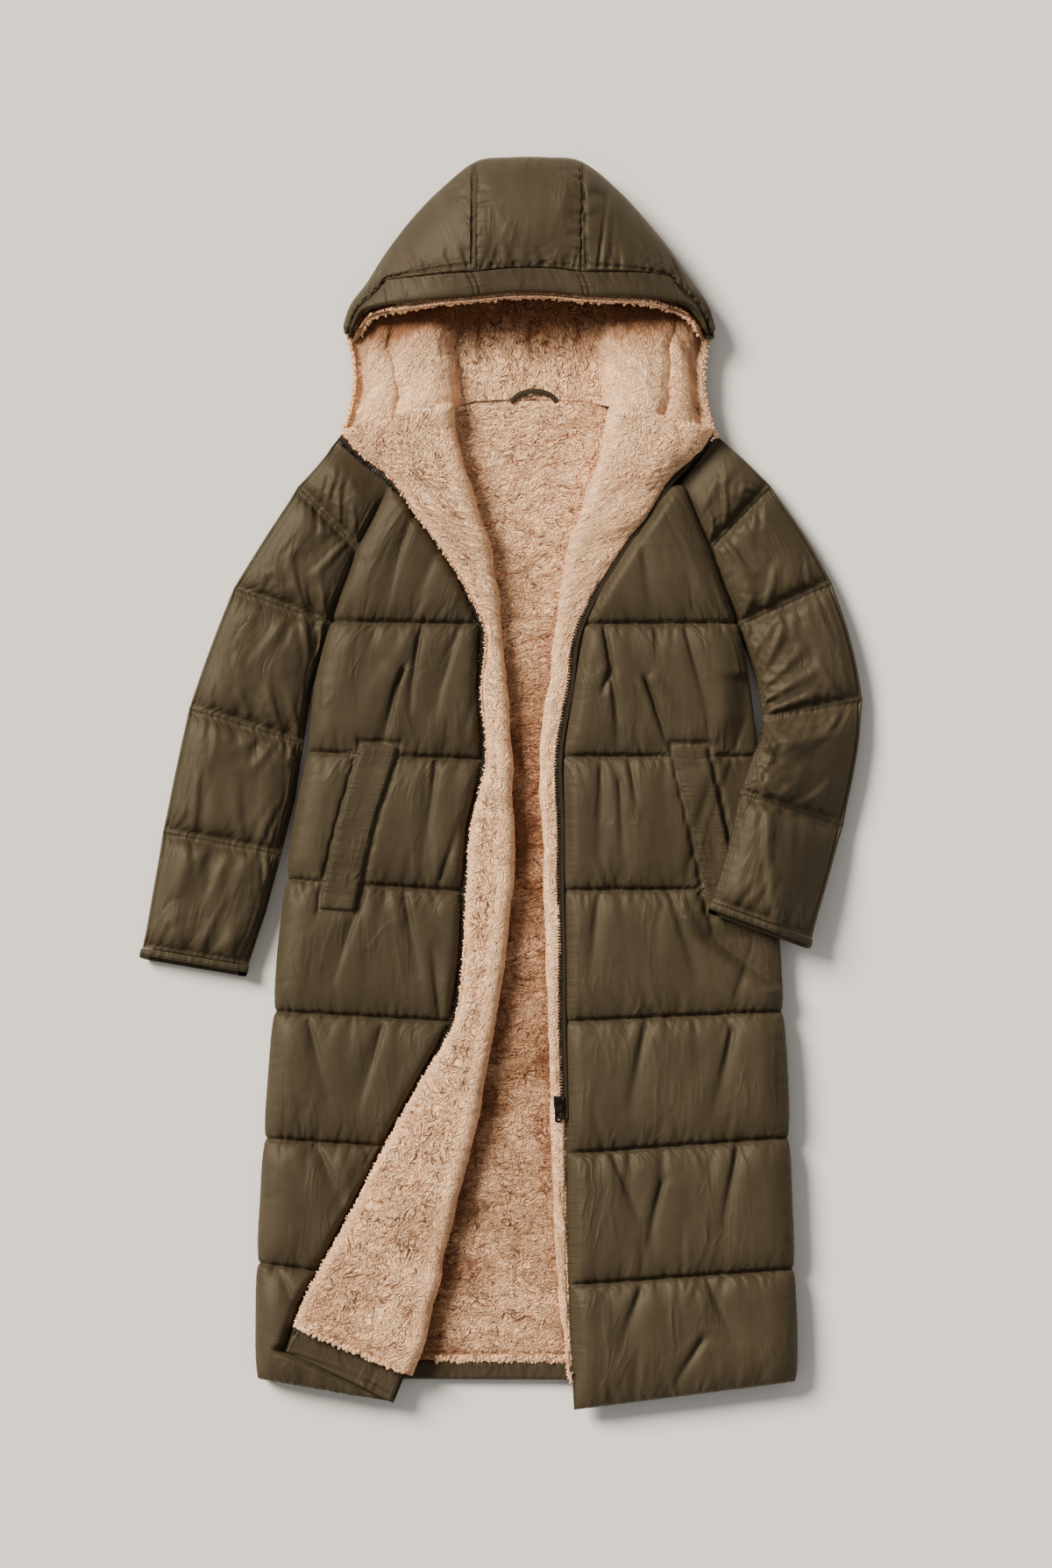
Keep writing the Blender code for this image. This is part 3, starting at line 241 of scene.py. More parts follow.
RAGLAN_CHANNEL = 6.0
RAGLAN_RISE = 0.25
TURNED_CORNER = (-730.0, -119.0)
ACROSS_TURNED = (0.0, 0.45, 1.0)
TURNED_ANGLES = (-60.0, -20.0, 20.0, 60.0)
ROWS_A_CHANNEL = 31
ROW_CROWDING = 0.07
SHOWN_COLUMNS = 72
HIDDEN_PARTS = (0.3, 0.65, 1.0)
LAP = 4
SHORT_GATHERS = (13.0, 8.5, 5.0)
LONG_GATHERS = (34.0, 26.0, 4.2)
EDGE_GATHERS = (15.0, 7.0, 2.6)
REST_ROUNDS = 140
COLUMN_CROWDING = 1.25
SCALLOP_REACH = 40.0
# Sizes of the short gathers: how far apart, how long, half how wide and how deep
WIDE_PUCKERS = ((16, 46), (40, 95), (5, 9), (0.4, 1.5))
NARROW_PUCKERS = ((7, 19), (10, 38), (1.8, 3.6), (0.5, 1.5))
PUCKERED_WIDTH = 300.0
# Spare length of the threads across, everywhere and beside a seam, and up the piece
SPARE_ACROSS = (0.020, 0.030)
SPARE_ALONG = 0.006
SEAM_NEAR = 0.16
PADDING_OVER = 2.0
CORNER_CLEAR = 3.0
NO_SEAM = 400.0
ACROSS_OFFSET = 5000.0

FRONT_COLUMNS = ("channel", "side_x", "side_y", "fold_x", "fold_y", "edge_x", "edge_y")
FRONT_RIGHT = (
    (0.00, -285, -698, -119, -730, -254, -666),
    (0.50, -284, -629, -94, -663, -235, -609),
    (1.00, -284, -562, -77, -591, -208, -559),
    (1.50, -279, -488, -57, -509, -170, -488),
    (2.00, -276, -416, -39, -433, -131, -412),
    (2.50, -270, -341, -22, -356, -93, -344),
    (3.00, -265, -267, -9, -281, -56, -279),
    (3.50, -259, -192, 2, -202, -46, -202),
    (4.00, -250, -112, 10, -129, -42, -128),
    (4.50, -239, -37, 12, -50, -37, -50),
    (5.00, -225, 37, 12, 27, -19, 28),
    (5.50, -216, 117, 7, 107, -25, 107),
    (6.00, -198, 190, 1, 187, -23, 187),
    (6.25, -183, 233, -6, 232, -44, 232),
    (6.50, -167, 275, -15, 275, -71, 275),
    (6.75, -147, 313, -27, 313, -99, 313),
    (7.00, -128, 351, -39, 351, -125, 350),
    (7.50, -128, 352, -49, 392, -158, 379),
    (8.00, -128, 352, -58, 440, -190, 407),
)
FRONT_LEFT = (
    (0.00, 343, -701, 78, -700, 84, -734),
    (0.50, 342, -634, 70, -645, 79, -645),
    (1.00, 340, -569, 64, -577, 77, -588),
    (1.50, 336, -490, 61, -496, 75, -506),
    (2.00, 334, -415, 58, -428, 74, -434),
    (2.50, 331, -341, 56, -356, 73, -356),
    (3.00, 327, -267, 53, -279, 71, -279),
    (3.50, 323, -197, 51, -202, 71, -202),
    (4.00, 316, -123, 49, -125, 69, -125),
    (4.50, 308, -47, 47, -47, 69, -47),
    (5.00, 298, 32, 45, 32, 67, 32),
    (5.50, 287, 112, 54, 112, 80, 112),
    (6.00, 273, 188, 63, 187, 93, 187),
    (6.25, 257, 231, 69, 232, 115, 232),
    (6.50, 241, 275, 77, 275, 143, 275),
    (6.75, 225, 312, 90, 313, 170, 313),
    (7.00, 209, 350, 104, 351, 194, 349),
    (7.50, 209, 350, 116, 392, 224, 379),
    (8.00, 209, 350, 126, 440, 250, 408),
)
# Height of the turned-out fleece over the surface, at its edge and at its crest
FLEECE_COLUMNS = ("channel", "edge_z", "crest_z")
FLEECE_RIGHT = (
    (0.0, 39.5, 47.0), (5.5, 39.5, 47.0), (6.0, 39.5, 48.0), (6.5, 39.5, 50.0),
    (7.0, 39.5, 52.0), (7.5, 33.0, 53.0), (8.0, 27.2, 54.0),
)
FLEECE_LEFT = (
    (0.0, 28.7, 32.0), (5.5, 28.7, 33.0), (6.0, 28.7, 36.0), (6.5, 28.7, 41.0),
    (7.0, 28.7, 49.0), (7.5, 28.0, 53.0), (8.0, 27.2, 54.0),
)
# Where the left sleeve lies on the left front and presses it flat
PRESS_COLUMNS = ("channel", "width")
PRESS_SLOPE = 30.0
PRESS_LEFT = (
    (0.0, 0), (3.2, 0), (3.6, 70), (4.0, 85), (4.5, 62), (5.0, 26), (5.3, 6), (5.6, 0),
    (7.0, 0),
)
# Pocket welts: rows, and parts of the way from the side seam to the zip edge
WELT_LEVEL = 16.5
WELT_COLUMNS = ("channel", "outer", "inner")
WELT_RIGHT = (
    (3.80, 0.195, 0.385), (5.06, 0.290, 0.500),
)
WELT_LEFT = (
    (3.82, 0.150, 0.300), (5.06, 0.255, 0.425),
)
# Main creases: row and millimetres from the side seam at each end, half width and depth
CREASES_RIGHT = (
    (6.00, 105, 5.30, 112, 7, 4.0), (5.62, 95, 5.02, 82, 9, 5.0),
    (6.00, 150, 5.25, 140, 10, 2.6), (5.95, 190, 5.10, 178, 6, 4.2),
    (6.90, 40, 6.02, 58, 9, 2.8), (6.75, 95, 6.02, 88, 10, 2.4),
    (4.96, 150, 4.20, 155, 10, 3.0), (4.10, 176, 4.60, 190, 8, 3.2),
    (4.85, 205, 4.15, 200, 9, 2.6), (3.95, 90, 3.20, 60, 12, 3.2),
    (3.90, 140, 3.30, 165, 11, 3.0), (3.05, 190, 3.60, 175, 8, 3.4),
    (2.92, 40, 2.30, 70, 12, 3.0), (2.90, 125, 2.20, 100, 13, 3.0),
    (1.96, 60, 1.30, 110, 13, 3.2), (1.90, 120, 1.35, 75, 11, 2.6),
    (0.95, 25, 0.40, 60, 12, 2.6), (0.90, 80, 0.25, 45, 12, 2.6),
)
CREASES_LEFT = (
    (5.98, 155, 5.10, 158, 7, 4.4), (5.62, 160, 5.45, 172, 6, 4.6),
    (5.55, 118, 5.02, 100, 6, 4.4), (6.90, 60, 6.05, 95, 10, 2.8),
    (6.70, 150, 6.03, 170, 10, 2.6), (5.95, 60, 5.15, 48, 12, 2.6),
    (4.97, 150, 4.60, 148, 6, 3.6), (4.90, 185, 4.20, 200, 12, 2.8),
    (4.80, 165, 4.12, 172, 9, 2.4), (3.96, 120, 3.25, 95, 12, 3.2),
    (3.92, 205, 3.30, 225, 11, 2.8), (3.55, 30, 3.03, 60, 9, 3.0),
    (2.95, 160, 2.25, 185, 13, 3.2), (2.85, 60, 2.10, 90, 13, 3.0),
    (1.95, 205, 1.35, 170, 12, 3.2), (1.92, 60, 1.15, 85, 12, 3.2),
    (1.70, 150, 1.05, 175, 10, 2.8), (0.96, 100, 0.35, 70, 13, 3.0),
    (0.90, 180, 0.30, 205, 12, 3.0), (0.40, 110, 0.02, 150, 9, 2.8),
)


def read(table, columns, name, at):
    """Smooth curve through one named column of a table: cubic pieces, slopes from neighbours."""
    rows = np.array(table, dtype=float)
    knots = rows[:, 0]
    values = rows[:, columns.index(name)]
    slope = np.gradient(values, knots)
    at = np.clip(np.asarray(at, dtype=float), knots[0], knots[-1])
    low = np.clip(np.searchsorted(knots, at, side="right") - 1, 0, len(knots) - 2)
    span = knots[low + 1] - knots[low]
    t = (at - knots[low]) / span
    rise = t * t * (3 - 2 * t)
    return (values[low] * (1 - rise) + values[low + 1] * rise
            + span * slope[low] * t * (1 - t) ** 2
            - span * slope[low + 1] * t * t * (1 - t))


def straight(table, columns, name, at):
    """Straight lines through one named column of a table."""
    rows = np.array(table, dtype=float)
    return np.interp(at, rows[:, 0], rows[:, columns.index(name)])


def rounded(t):
    """Quarter circle: sqrt(1 - (1 - t)^2), 0 at t = 0 and level at t = 1."""
    return np.sqrt(1 - (1 - np.clip(t, 0, 1)) ** 2)


def eased(t):
    """Soft step: 3 t^2 - 2 t^3 between 0 and 1."""
    t = np.clip(t, 0, 1)
    return t * t * (3 - 2 * t)


def unit(ways):
    """Directions of length 1."""
    return ways / np.maximum(np.linalg.norm(ways, axis=-1, keepdims=True), 1e-9)


def lengths(points, axis):
    """Length along every row or column of a grid."""
    return np.linalg.norm(np.diff(points, axis=axis), axis=-1).sum(axis=axis)


def between(start, stop, parts):
    """Points that lie parts of the way from one line of points to another."""
    return start + (stop - start) * parts[..., None]


def edged(values):
    """Values of a grid carried on to the two rims that wrapped() adds on every side."""
    return np.pad(values, 2, mode="edge")


def channel_rows(first, last, count):
    """Row numbers, count a channel and closer together at each sewn line: n - c sin(2 pi n)."""
    steps = np.arange(round(first * count), round(last * count) + 1) / count
    return steps - ROW_CROWDING * np.sin(2 * np.pi * steps)


def from_line(channel):
    """How far a row number is from the nearest sewn line, in channels."""
    return np.abs(channel - np.round(channel))


def fullness(channel):
    """Padding between sewn lines, 1 - (1 - 4 p (1 - p))^k: 0 on a line, a flat top between."""
    part = channel - np.floor(channel)
    return 1 - (1 - 4 * part * (1 - part)) ** CHANNEL_SHOULDER


def plan_line(table, columns, which, at, curve=read):
    """Plan points along one named line of a table."""
    return np.stack([curve(table, columns, which + axis, at) for axis in ("_x", "_y")], -1)


def ends(table, channel, which):
    """Plan points of one end of every row of a front table; side seams run straight."""
    return plan_line(table, FRONT_COLUMNS, which, channel, straight if which == "side" else read)


def fold_line(table, heights, channel):
    """Centre of the fold of every row, and the way across it from the zip edge."""
    fold = ends(table, channel, "fold")
    crest_z = straight(heights, FLEECE_COLUMNS, "crest_z", channel)[:, None]
    across = unit(fold - ends(table, channel, "edge"))
    return fold - across * (crest_z - FRONT_LINING_Z) / 2, across


def edge_x_at(table, y, corner=None):
    """Where the zip edge runs at a height up the coat; corner adds the turned hem."""
    rows = np.array(table, dtype=float)[:, [6, 5]]
    if corner is not None:
        rows = np.concatenate([[corner], rows])
    return np.interp(y, rows[:, 0], rows[:, 1])


def visible_length(table, side, reach, inward, corner):
    """How far along each row the shell shows before the flat strip beside its edge."""
    part = np.linspace(0, 1, 2001)
    plan = between(side[:, None], reach[:, None], part[None])
    covered = inward * (edge_x_at(table, plan[..., 1], corner) - plan[..., 0]) < EDGE_FLAT
    return part[np.where(covered.any(axis=1), covered.argmax(axis=1), len(part) - 1)]


def layer(plan, level):
    """Plan points with a height each."""
    return np.concatenate([plan, (plan[..., 0] * 0 + level)[..., None]], -1)


def bent(centre, across, turn, radius, level):
    """Points round a fold: c + a r cos(t), level + r sin(t)."""
    reach = radius * np.cos(turn) + centre[:, :1] * 0
    return layer(centre[:, None] + across[:, None] * reach[..., None],
                 level + radius * np.sin(turn))


def creased(along, up, marks):
    """Sum of soft folds: depth exp(-(d / width)^2) below the face along each mark, with
    half as much above it on one side, fading from the mark's start to its end."""
    height = np.zeros(np.broadcast(along, up).shape)
    for from_up, from_along, to_up, to_along, width, depth in marks:
        run = np.array([to_along - from_along, to_up - from_up])
        length = np.hypot(*run) + 1e-6
        run = run / length
        off_u, off_v = along - from_along, up - from_up
        part = np.clip((off_u * run[0] + off_v * run[1]) / length, 0, 1)
        near = (off_u * run[0] + off_v * run[1]) - part * length
        beside = off_u * run[1] - off_v * run[0]
        fade = (1 - part) ** 0.6 * np.exp(-(near / width) ** 2)
        wide = width * (1 + 0.9 * part)
        trough = np.exp(-(beside / np.where(beside > 0, wide, 0.5 * wide)) ** 2)
        ridge = np.exp(-((beside - 1.9 * wide) / (1.3 * wide)) ** 2)
        lip = np.exp(-((beside + 0.9 * wide) / (0.6 * wide)) ** 2)
        height += depth * fade * (0.45 * ridge + 0.35 * lip - trough)
    return height


def sharper(marks):
    """The same folds narrower and shallower, to crisp their lines on the dense grid."""
    return [(*mark[:4], mark[4] * 0.42, mark[5] * 0.55) for mark in marks]


def gathers(draw, along, line, away, pitch, reach, depth):
    """Valleys that run off a sewn line, one every pitch or so: d a exp(-(b / w)^2)
    exp(-away / r) (1 - exp(-away / 1.2)); place, width, depth, reach and lean are drawn."""
    line = line + np.zeros(along.shape, dtype=int)
    cells = int(along.max() / pitch) + 4
    where, width, deep, far, lean = draw.uniform(0, 1, (5, int(line.max()) + 1, cells))
    place = np.maximum(along, 0) / pitch + 1
    total = np.zeros(along.shape)
    for shift in (-1, 0, 1):
        cell = np.clip(np.floor(place).astype(int) + shift, 0, cells - 1)
        at = line, cell
        beside = (place - cell - 0.2 - 0.6 * where[at]) * pitch
        beside = beside - (lean[at] - 0.5) * 0.9 * away
        size = pitch * (0.10 + 0.14 * width[at]) * (1 + away / 24)
        total -= ((0.2 + 0.8 * deep[at] ** 1.5) * np.exp(-(beside / size) ** 2)
                  * np.exp(-away / (reach * (0.4 + far[at]))))
    return depth * total * (1 - np.exp(-away / 1.2))


def row_gathers(draw, along, up, seam_mm):
    """Short and long gathers both sides of sewn lines that lie every seam_mm up a piece."""
    nearest = np.round(up / seam_mm).astype(int)
    away = np.abs(up - nearest * seam_mm)
    line = 2 * np.maximum(nearest, 0) + (up > nearest * seam_mm)
    return (gathers(draw, along, line, away, *SHORT_GATHERS)
            + gathers(draw, along, line, away, *LONG_GATHERS))


def in_mm(marks, channel_mm):
    """Crease table with its row numbers turned into millimetres up the piece."""
    return [(row * channel_mm, start, last * channel_mm, stop, width, depth)
            for row, start, last, stop, width, depth in marks]


def puckers(draw, seams, width, pitch, length, breadth, depth):
    """Marks for the short gathers both sides of each sewn line, a line being (mm up, has
    cloth above, has cloth below); every size is drawn between its low and its high."""
    marks = []
    for up, above, below in seams:
        for side in [1] * above + [-1] * below:
            places = np.cumsum(draw.uniform(*pitch, int(width / pitch[0]) + 2))
            for place in places[places < width]:
                long = draw.uniform(*length) * draw.uniform(0.5, 1.0)
                marks.append((up + side, place, up + side * long,
                              place + long * draw.uniform(-0.35, 0.35),
                              draw.uniform(*breadth), draw.uniform(*depth)))
    return marks


def face_normals(points, facing=1):
    """Unit normals of a grid: the cross product of its row and column directions."""
    return unit(np.cross(np.gradient(points, axis=1), np.gradient(points, axis=0)) * facing)


def pushed(points, height, facing=1):
    """Grid moved along its normals by a height at each point."""
    return points + face_normals(points, facing) * height[..., None]


def settled(start, held, spare_across, spare_along, facing, floor_z=None, push=0.05,
            anchor=0.01, cap=9.0):
    """Cloth come to rest on its padding. Each thread between neighbours wants its cut
    length, its start length x (1 + spare); each round moves both ends half of what is
    missing, averaged over their threads, pushes them out and holds the sewn points."""
    threads = []
    for down, right, weight in ((0, 1, 1.0), (1, 0, 1.0), (1, 1, 0.4), (1, -1, 0.4),
                                (0, 2, 0.3), (2, 0, 0.3)):
        rows, columns = start.shape[0] - down, start.shape[1] - abs(right)
        left = max(-right, 0)
        one = (slice(0, rows), slice(left, left + columns))
        two = (slice(down, down + rows), slice(left + right, left + right + columns))
        spare = (spare_across[one] * abs(right) + spare_along[one] * down) / (
            abs(right) + down)
        rest = np.linalg.norm(start[two] - start[one], axis=-1) * (1 + spare)
        threads.append((one, two, weight, rest, max(down, abs(right)) == 2))
    share = np.full(start.shape[:2], 1e-9)
    for one, two, weight, rest, stiff in threads:
        share[one] += weight
        share[two] += weight
    points = start.copy()
    loose = (~held)[..., None]
    for turn in range(REST_ROUNDS):
        move = np.zeros_like(points)
        for one, two, weight, rest, stiff in threads:
            gap = points[two] - points[one]
            length = np.maximum(np.linalg.norm(gap, axis=-1), 1e-6)
            wrong = length - rest
            if stiff:
                wrong = np.minimum(wrong, 0)
            pull = gap * (wrong / length * 0.5 * weight)[..., None]
            move[one] += pull
            move[two] -= pull
        if turn % 4 == 0:
            normal = face_normals(points, facing)
        move = 1.6 * move / share[..., None] + push * normal + anchor * (start - points)
        points = points + move * loose
        shift = points - start
        far = np.linalg.norm(shift, axis=-1, keepdims=True)
        points = start + shift * np.minimum(1, cap / np.maximum(far, 1e-9))
        if floor_z is not None:
            points[..., 2] = np.maximum(points[..., 2], floor_z)
    return points


def refined(grid):
    """Twice the points each way: new ones are (-a + 9 b + 9 c - d) / 16 of their row."""
    for axis in (0, 1):
        points = np.moveaxis(grid, axis, 0)
        padded = np.concatenate([2 * points[:1] - points[1:2], points,
                                 2 * points[-1:] - points[-2:-1]])
        fine = np.empty((2 * len(points) - 1,) + points.shape[1:])
        fine[0::2] = points
        fine[1::2] = (9 * (padded[1:-2] + padded[2:-1]) - padded[:-3] - padded[3:]) / 16
        grid = np.moveaxis(fine, 0, axis)
    return grid


def wrapped(outer, inner, lap=LAP):
    """Outer face carried round every edge on to the first few rows of the inner face."""
    rows, under = (np.concatenate([inner[lap:lap + 1], inner[:1], face, inner[-1:],
                                   inner[-lap - 1:-lap]]) for face in (outer, inner))
    return np.concatenate([under[:, lap:lap + 1], under[:, :1], rows, under[:, -1:],
                           under[:, -lap - 1:-lap]], 1)


def cloth_map(points):
    """Millimetres along and across the cloth, summed from each point to the next."""
    across = np.linalg.norm(np.diff(points, axis=1), axis=-1).cumsum(axis=1)
    up = np.linalg.norm(np.diff(points, axis=0), axis=-1).cumsum(axis=0)
    u = np.pad(across, ((0, 0), (1, 0)))
    v = np.pad(up, ((1, 0), (0, 0))).mean(axis=1, keepdims=True) + u * 0
    return np.stack([u, v], -1)


def sewing_map(points, beside_rows=None, beside_columns=None):
    """Millimetres along the nearest sewn line and away from it, for lines that run along
    the rows and along the columns of a grid; no line where the two are equally near."""
    along, up = np.moveaxis(cloth_map(points), -1, 0)
    far = np.full(along.shape, NO_SEAM)
    rows, columns = (far if near is None else near + 0 * far
                     for near in (beside_rows, beside_columns))
    away = np.where(np.abs(rows - columns) < CORNER_CLEAR, far, np.minimum(rows, columns))
    return np.stack([np.where(rows < columns, along, up + ACROSS_OFFSET), away], -1)


# Satin-faced nylon taffeta over padding, calendered: a soft broad gloss, finest weave of
# 0.2 mm threads drawn at 0.9 mm so that it shows, and faint long streaks of painted sheen in its
# colour.
SEAM_LINE_MM = 0.9
SEAM_STITCH_MM = 3.4
TICK_REACH_MM = 11.0
SHELL_STOPS = ((0.32, "#332a1d"), (0.5, "#393022"), (0.70, "#403627"))
THREAD_AND_SHADE_HEX = "#0f0b05"
SHELL_SHEEN_HEX = "#b8a678"
SHELL_GLOSS_HEX = "#cfc3a6"
SHEEN_STREAKS = (60.0, 9.0, 1.0)
THREADS = {"Scale": 170.0, "Distortion": 0.6, "Detail": 1.0}
TICKS = (150.0, 16.0, 1.0)
# Angle, how often across and along each metre, and height of the fine wrinkles
WRINKLES = ((0.35, (26.0, 7.0, 1.0), 0.26), (-0.42, (34.0, 9.0, 1.0), 0.22),
            (0.05, (48.0, 11.0, 1.0), 0.16))
WRINKLE_WIDTH = 0.11
CRINKLE_HEIGHT = 0.16
GROOVE_DEPTH = 0.22


def satin_nylon(name, stops):
    """Colour and bump of the woven shell cloth from its own map; from the sewing map, ticks
    n(a, d) exp(-d / reach) both sides of each sewn line and a stitched groove on it."""
    made, tree, shader = new_material(name)
    cloth = add_node(tree, "UVMap", uv_map="cloth")["UV"]
    sewing = add_node(tree, "UVMap", uv_map="sewing")["UV"]
    from_sewing = add_node(tree, "SeparateXYZ", {"Vector": sewing})["Y"]

    def falling(reach, power):
        """exp(-(d / reach)^power), for the distance of the sewing map."""
        part = maths(tree, "DIVIDE", from_sewing, reach * MM)
        return maths(tree, "EXPONENT", maths(tree, "MULTIPLY", maths(tree, "POWER", part, power),
                                             -1.0))

    # Painted sheen: long streaks lighter and darker along the cloth, mixed with a random tone
    streaks = noise(tree, stretched(tree, cloth, SHEEN_STREAKS), 1.0, 4.0)
    clouds = noise(tree, cloth, 11.0, 3.0)
    sheen_and_tone = maths(tree, "MULTIPLY_ADD", streaks, 0.55, maths(tree, "MULTIPLY", clouds, 0.45))
    # Stitches and painted shade: the sewn line is coloured dark in dashes, for its thread and for
    # the shade in its groove
    groove = falling(SEAM_LINE_MM, 2.0)
    dash = add_node(tree, "TexWave", {"Vector": sewing, "Scale": 314.16 / SEAM_STITCH_MM},
                    bands_direction="X")["Fac"]
    dashed = add_node(tree, "MapRange", {"Value": dash, "To Min": 0.25, "To Max": 0.62})["Result"]
    sewn = add_node(tree, "Mix", {0: maths(tree, "MULTIPLY", groove, dashed),
                                  6: ramp(tree, sheen_and_tone, *stops), 7: linear(THREAD_AND_SHADE_HEX)},
                    data_type="RGBA")[2]
    weave = maths(tree, "MULTIPLY", *(
        add_node(tree, "TexWave", {"Vector": cloth, **THREADS}, bands_direction=way)["Fac"]
        for way in "XY"))
    ticks = noise(tree, stretched(tree, sewing, TICKS), 1.0, 2.0, Distortion=0.4)
    total = maths(tree, "MULTIPLY", ticks, falling(TICK_REACH_MM, 1.3))
    where = add_node(tree, "MapRange", {"Value": noise(tree, cloth, 14.0, 1.0),
                                        "From Min": 0.42, "From Max": 0.62})["Result"]
    for angle, scale, share in WRINKLES:
        waves = noise(tree, stretched(tree, cloth, scale, angle), 1.0, 1.0, Distortion=0.8)
        total = maths(tree, "MULTIPLY_ADD", ridges(tree, waves, WRINKLE_WIDTH, share), where,
                      total)
    crinkle = noise(tree, cloth, 60.0, 4.0, Roughness=0.5)
    total = maths(tree, "MULTIPLY_ADD", crinkle, CRINKLE_HEIGHT, total)
    total = maths(tree, "MULTIPLY_ADD", groove, -GROOVE_DEPTH, total)
    fine = add_node(tree, "Bump", {"Height": weave, "Strength": 0.10, "Distance": 0.0002})
    soft = add_node(tree, "Bump", {"Height": total, "Strength": 0.6, "Distance": 0.0036,
                                   "Normal": fine["Normal"]})
    gloss = add_node(tree, "MapRange", {"Value": clouds, "To Min": 0.50, "To Max": 0.62})
    set_inputs(tree, shader, {
        "Base Color": sewn, "Normal": soft["Normal"], "Roughness": gloss["Result"],
        "Sheen Weight": 0.12, "Sheen Roughness": 0.4, "Sheen Tint": linear(SHELL_SHEEN_HEX),
        "Specular IOR Level": 0.30, "Specular Tint": linear(SHELL_GLOSS_HEX)})
    return made


shell_cloth = satin_nylon("olive_satin_nylon", SHELL_STOPS)


def cloth_piece(name, grid, facing, surface, slot, **maps):
    """Piece of cloth on a closed grid of points, mapped along its threads."""
    made = mesh_piece(name, grid, grid_faces(*grid.shape[:2], facing), surface,
                      cloth_map(grid), **maps)
    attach(made, "coat")
    return made


def shell_piece(name, grid, facing, *sewn):
    """Piece of the shell cloth, with its distances from the sewn lines by rows and columns."""
    return cloth_piece(name, grid, facing, shell_cloth, "olive_satin_nylon",
                       sewn=sewing_map(grid, *sewn))


WELT_FADE = (0.05, 0.03)
STAY_FADE = (0.22, 0.16)


def welt_part(table, row, across, fade):
    """1 on the pocket welt, falling to 0 round it over fade, in rows and in parts across."""
    first = straight(table, WELT_COLUMNS, "outer", row)
    last = straight(table, WELT_COLUMNS, "inner", row)
    inside_rows = (eased((row - table[0][0]) / fade[0] + 1)
                   * eased((table[1][0] - row) / fade[0] + 1))
    return (inside_rows * eased((across - first) / fade[1] + 1)
            * eased((last - across) / fade[1] + 1))


def turned_back(centre, edge, fold_way, count):
    """Both faces of the part that lies turned back, from the fold to the zip, on dense rows."""
    turn = np.radians(TURNED_ANGLES)
    radius = (EDGE_THICK + GAP + TURNED_THICK) / 2
    face_z = FRONT_SHELL_Z + EDGE_THICK + GAP / 2
    flat = between(centre[:, None], edge[:, None], np.array(ACROSS_TURNED)[None])
    turned_z = face_z + GAP / 2
    fold_out = np.concatenate([bent(centre, fold_way, turn, GAP / 2, face_z),
                               layer(flat, turned_z)], 1)
    fold_in = np.concatenate([bent(centre, fold_way, turn, radius, FRONT_SHELL_Z + radius),
                              layer(flat, turned_z + TURNED_THICK)], 1)
    rows = np.linspace(0, len(centre) - 1, count)
    low = np.floor(rows).astype(int)
    high = np.minimum(low + 1, len(centre) - 1)
    mix = (rows - low)[:, None, None]
    return [face[low] * (1 - mix) + face[high] * mix for face in (fold_out, fold_in)]


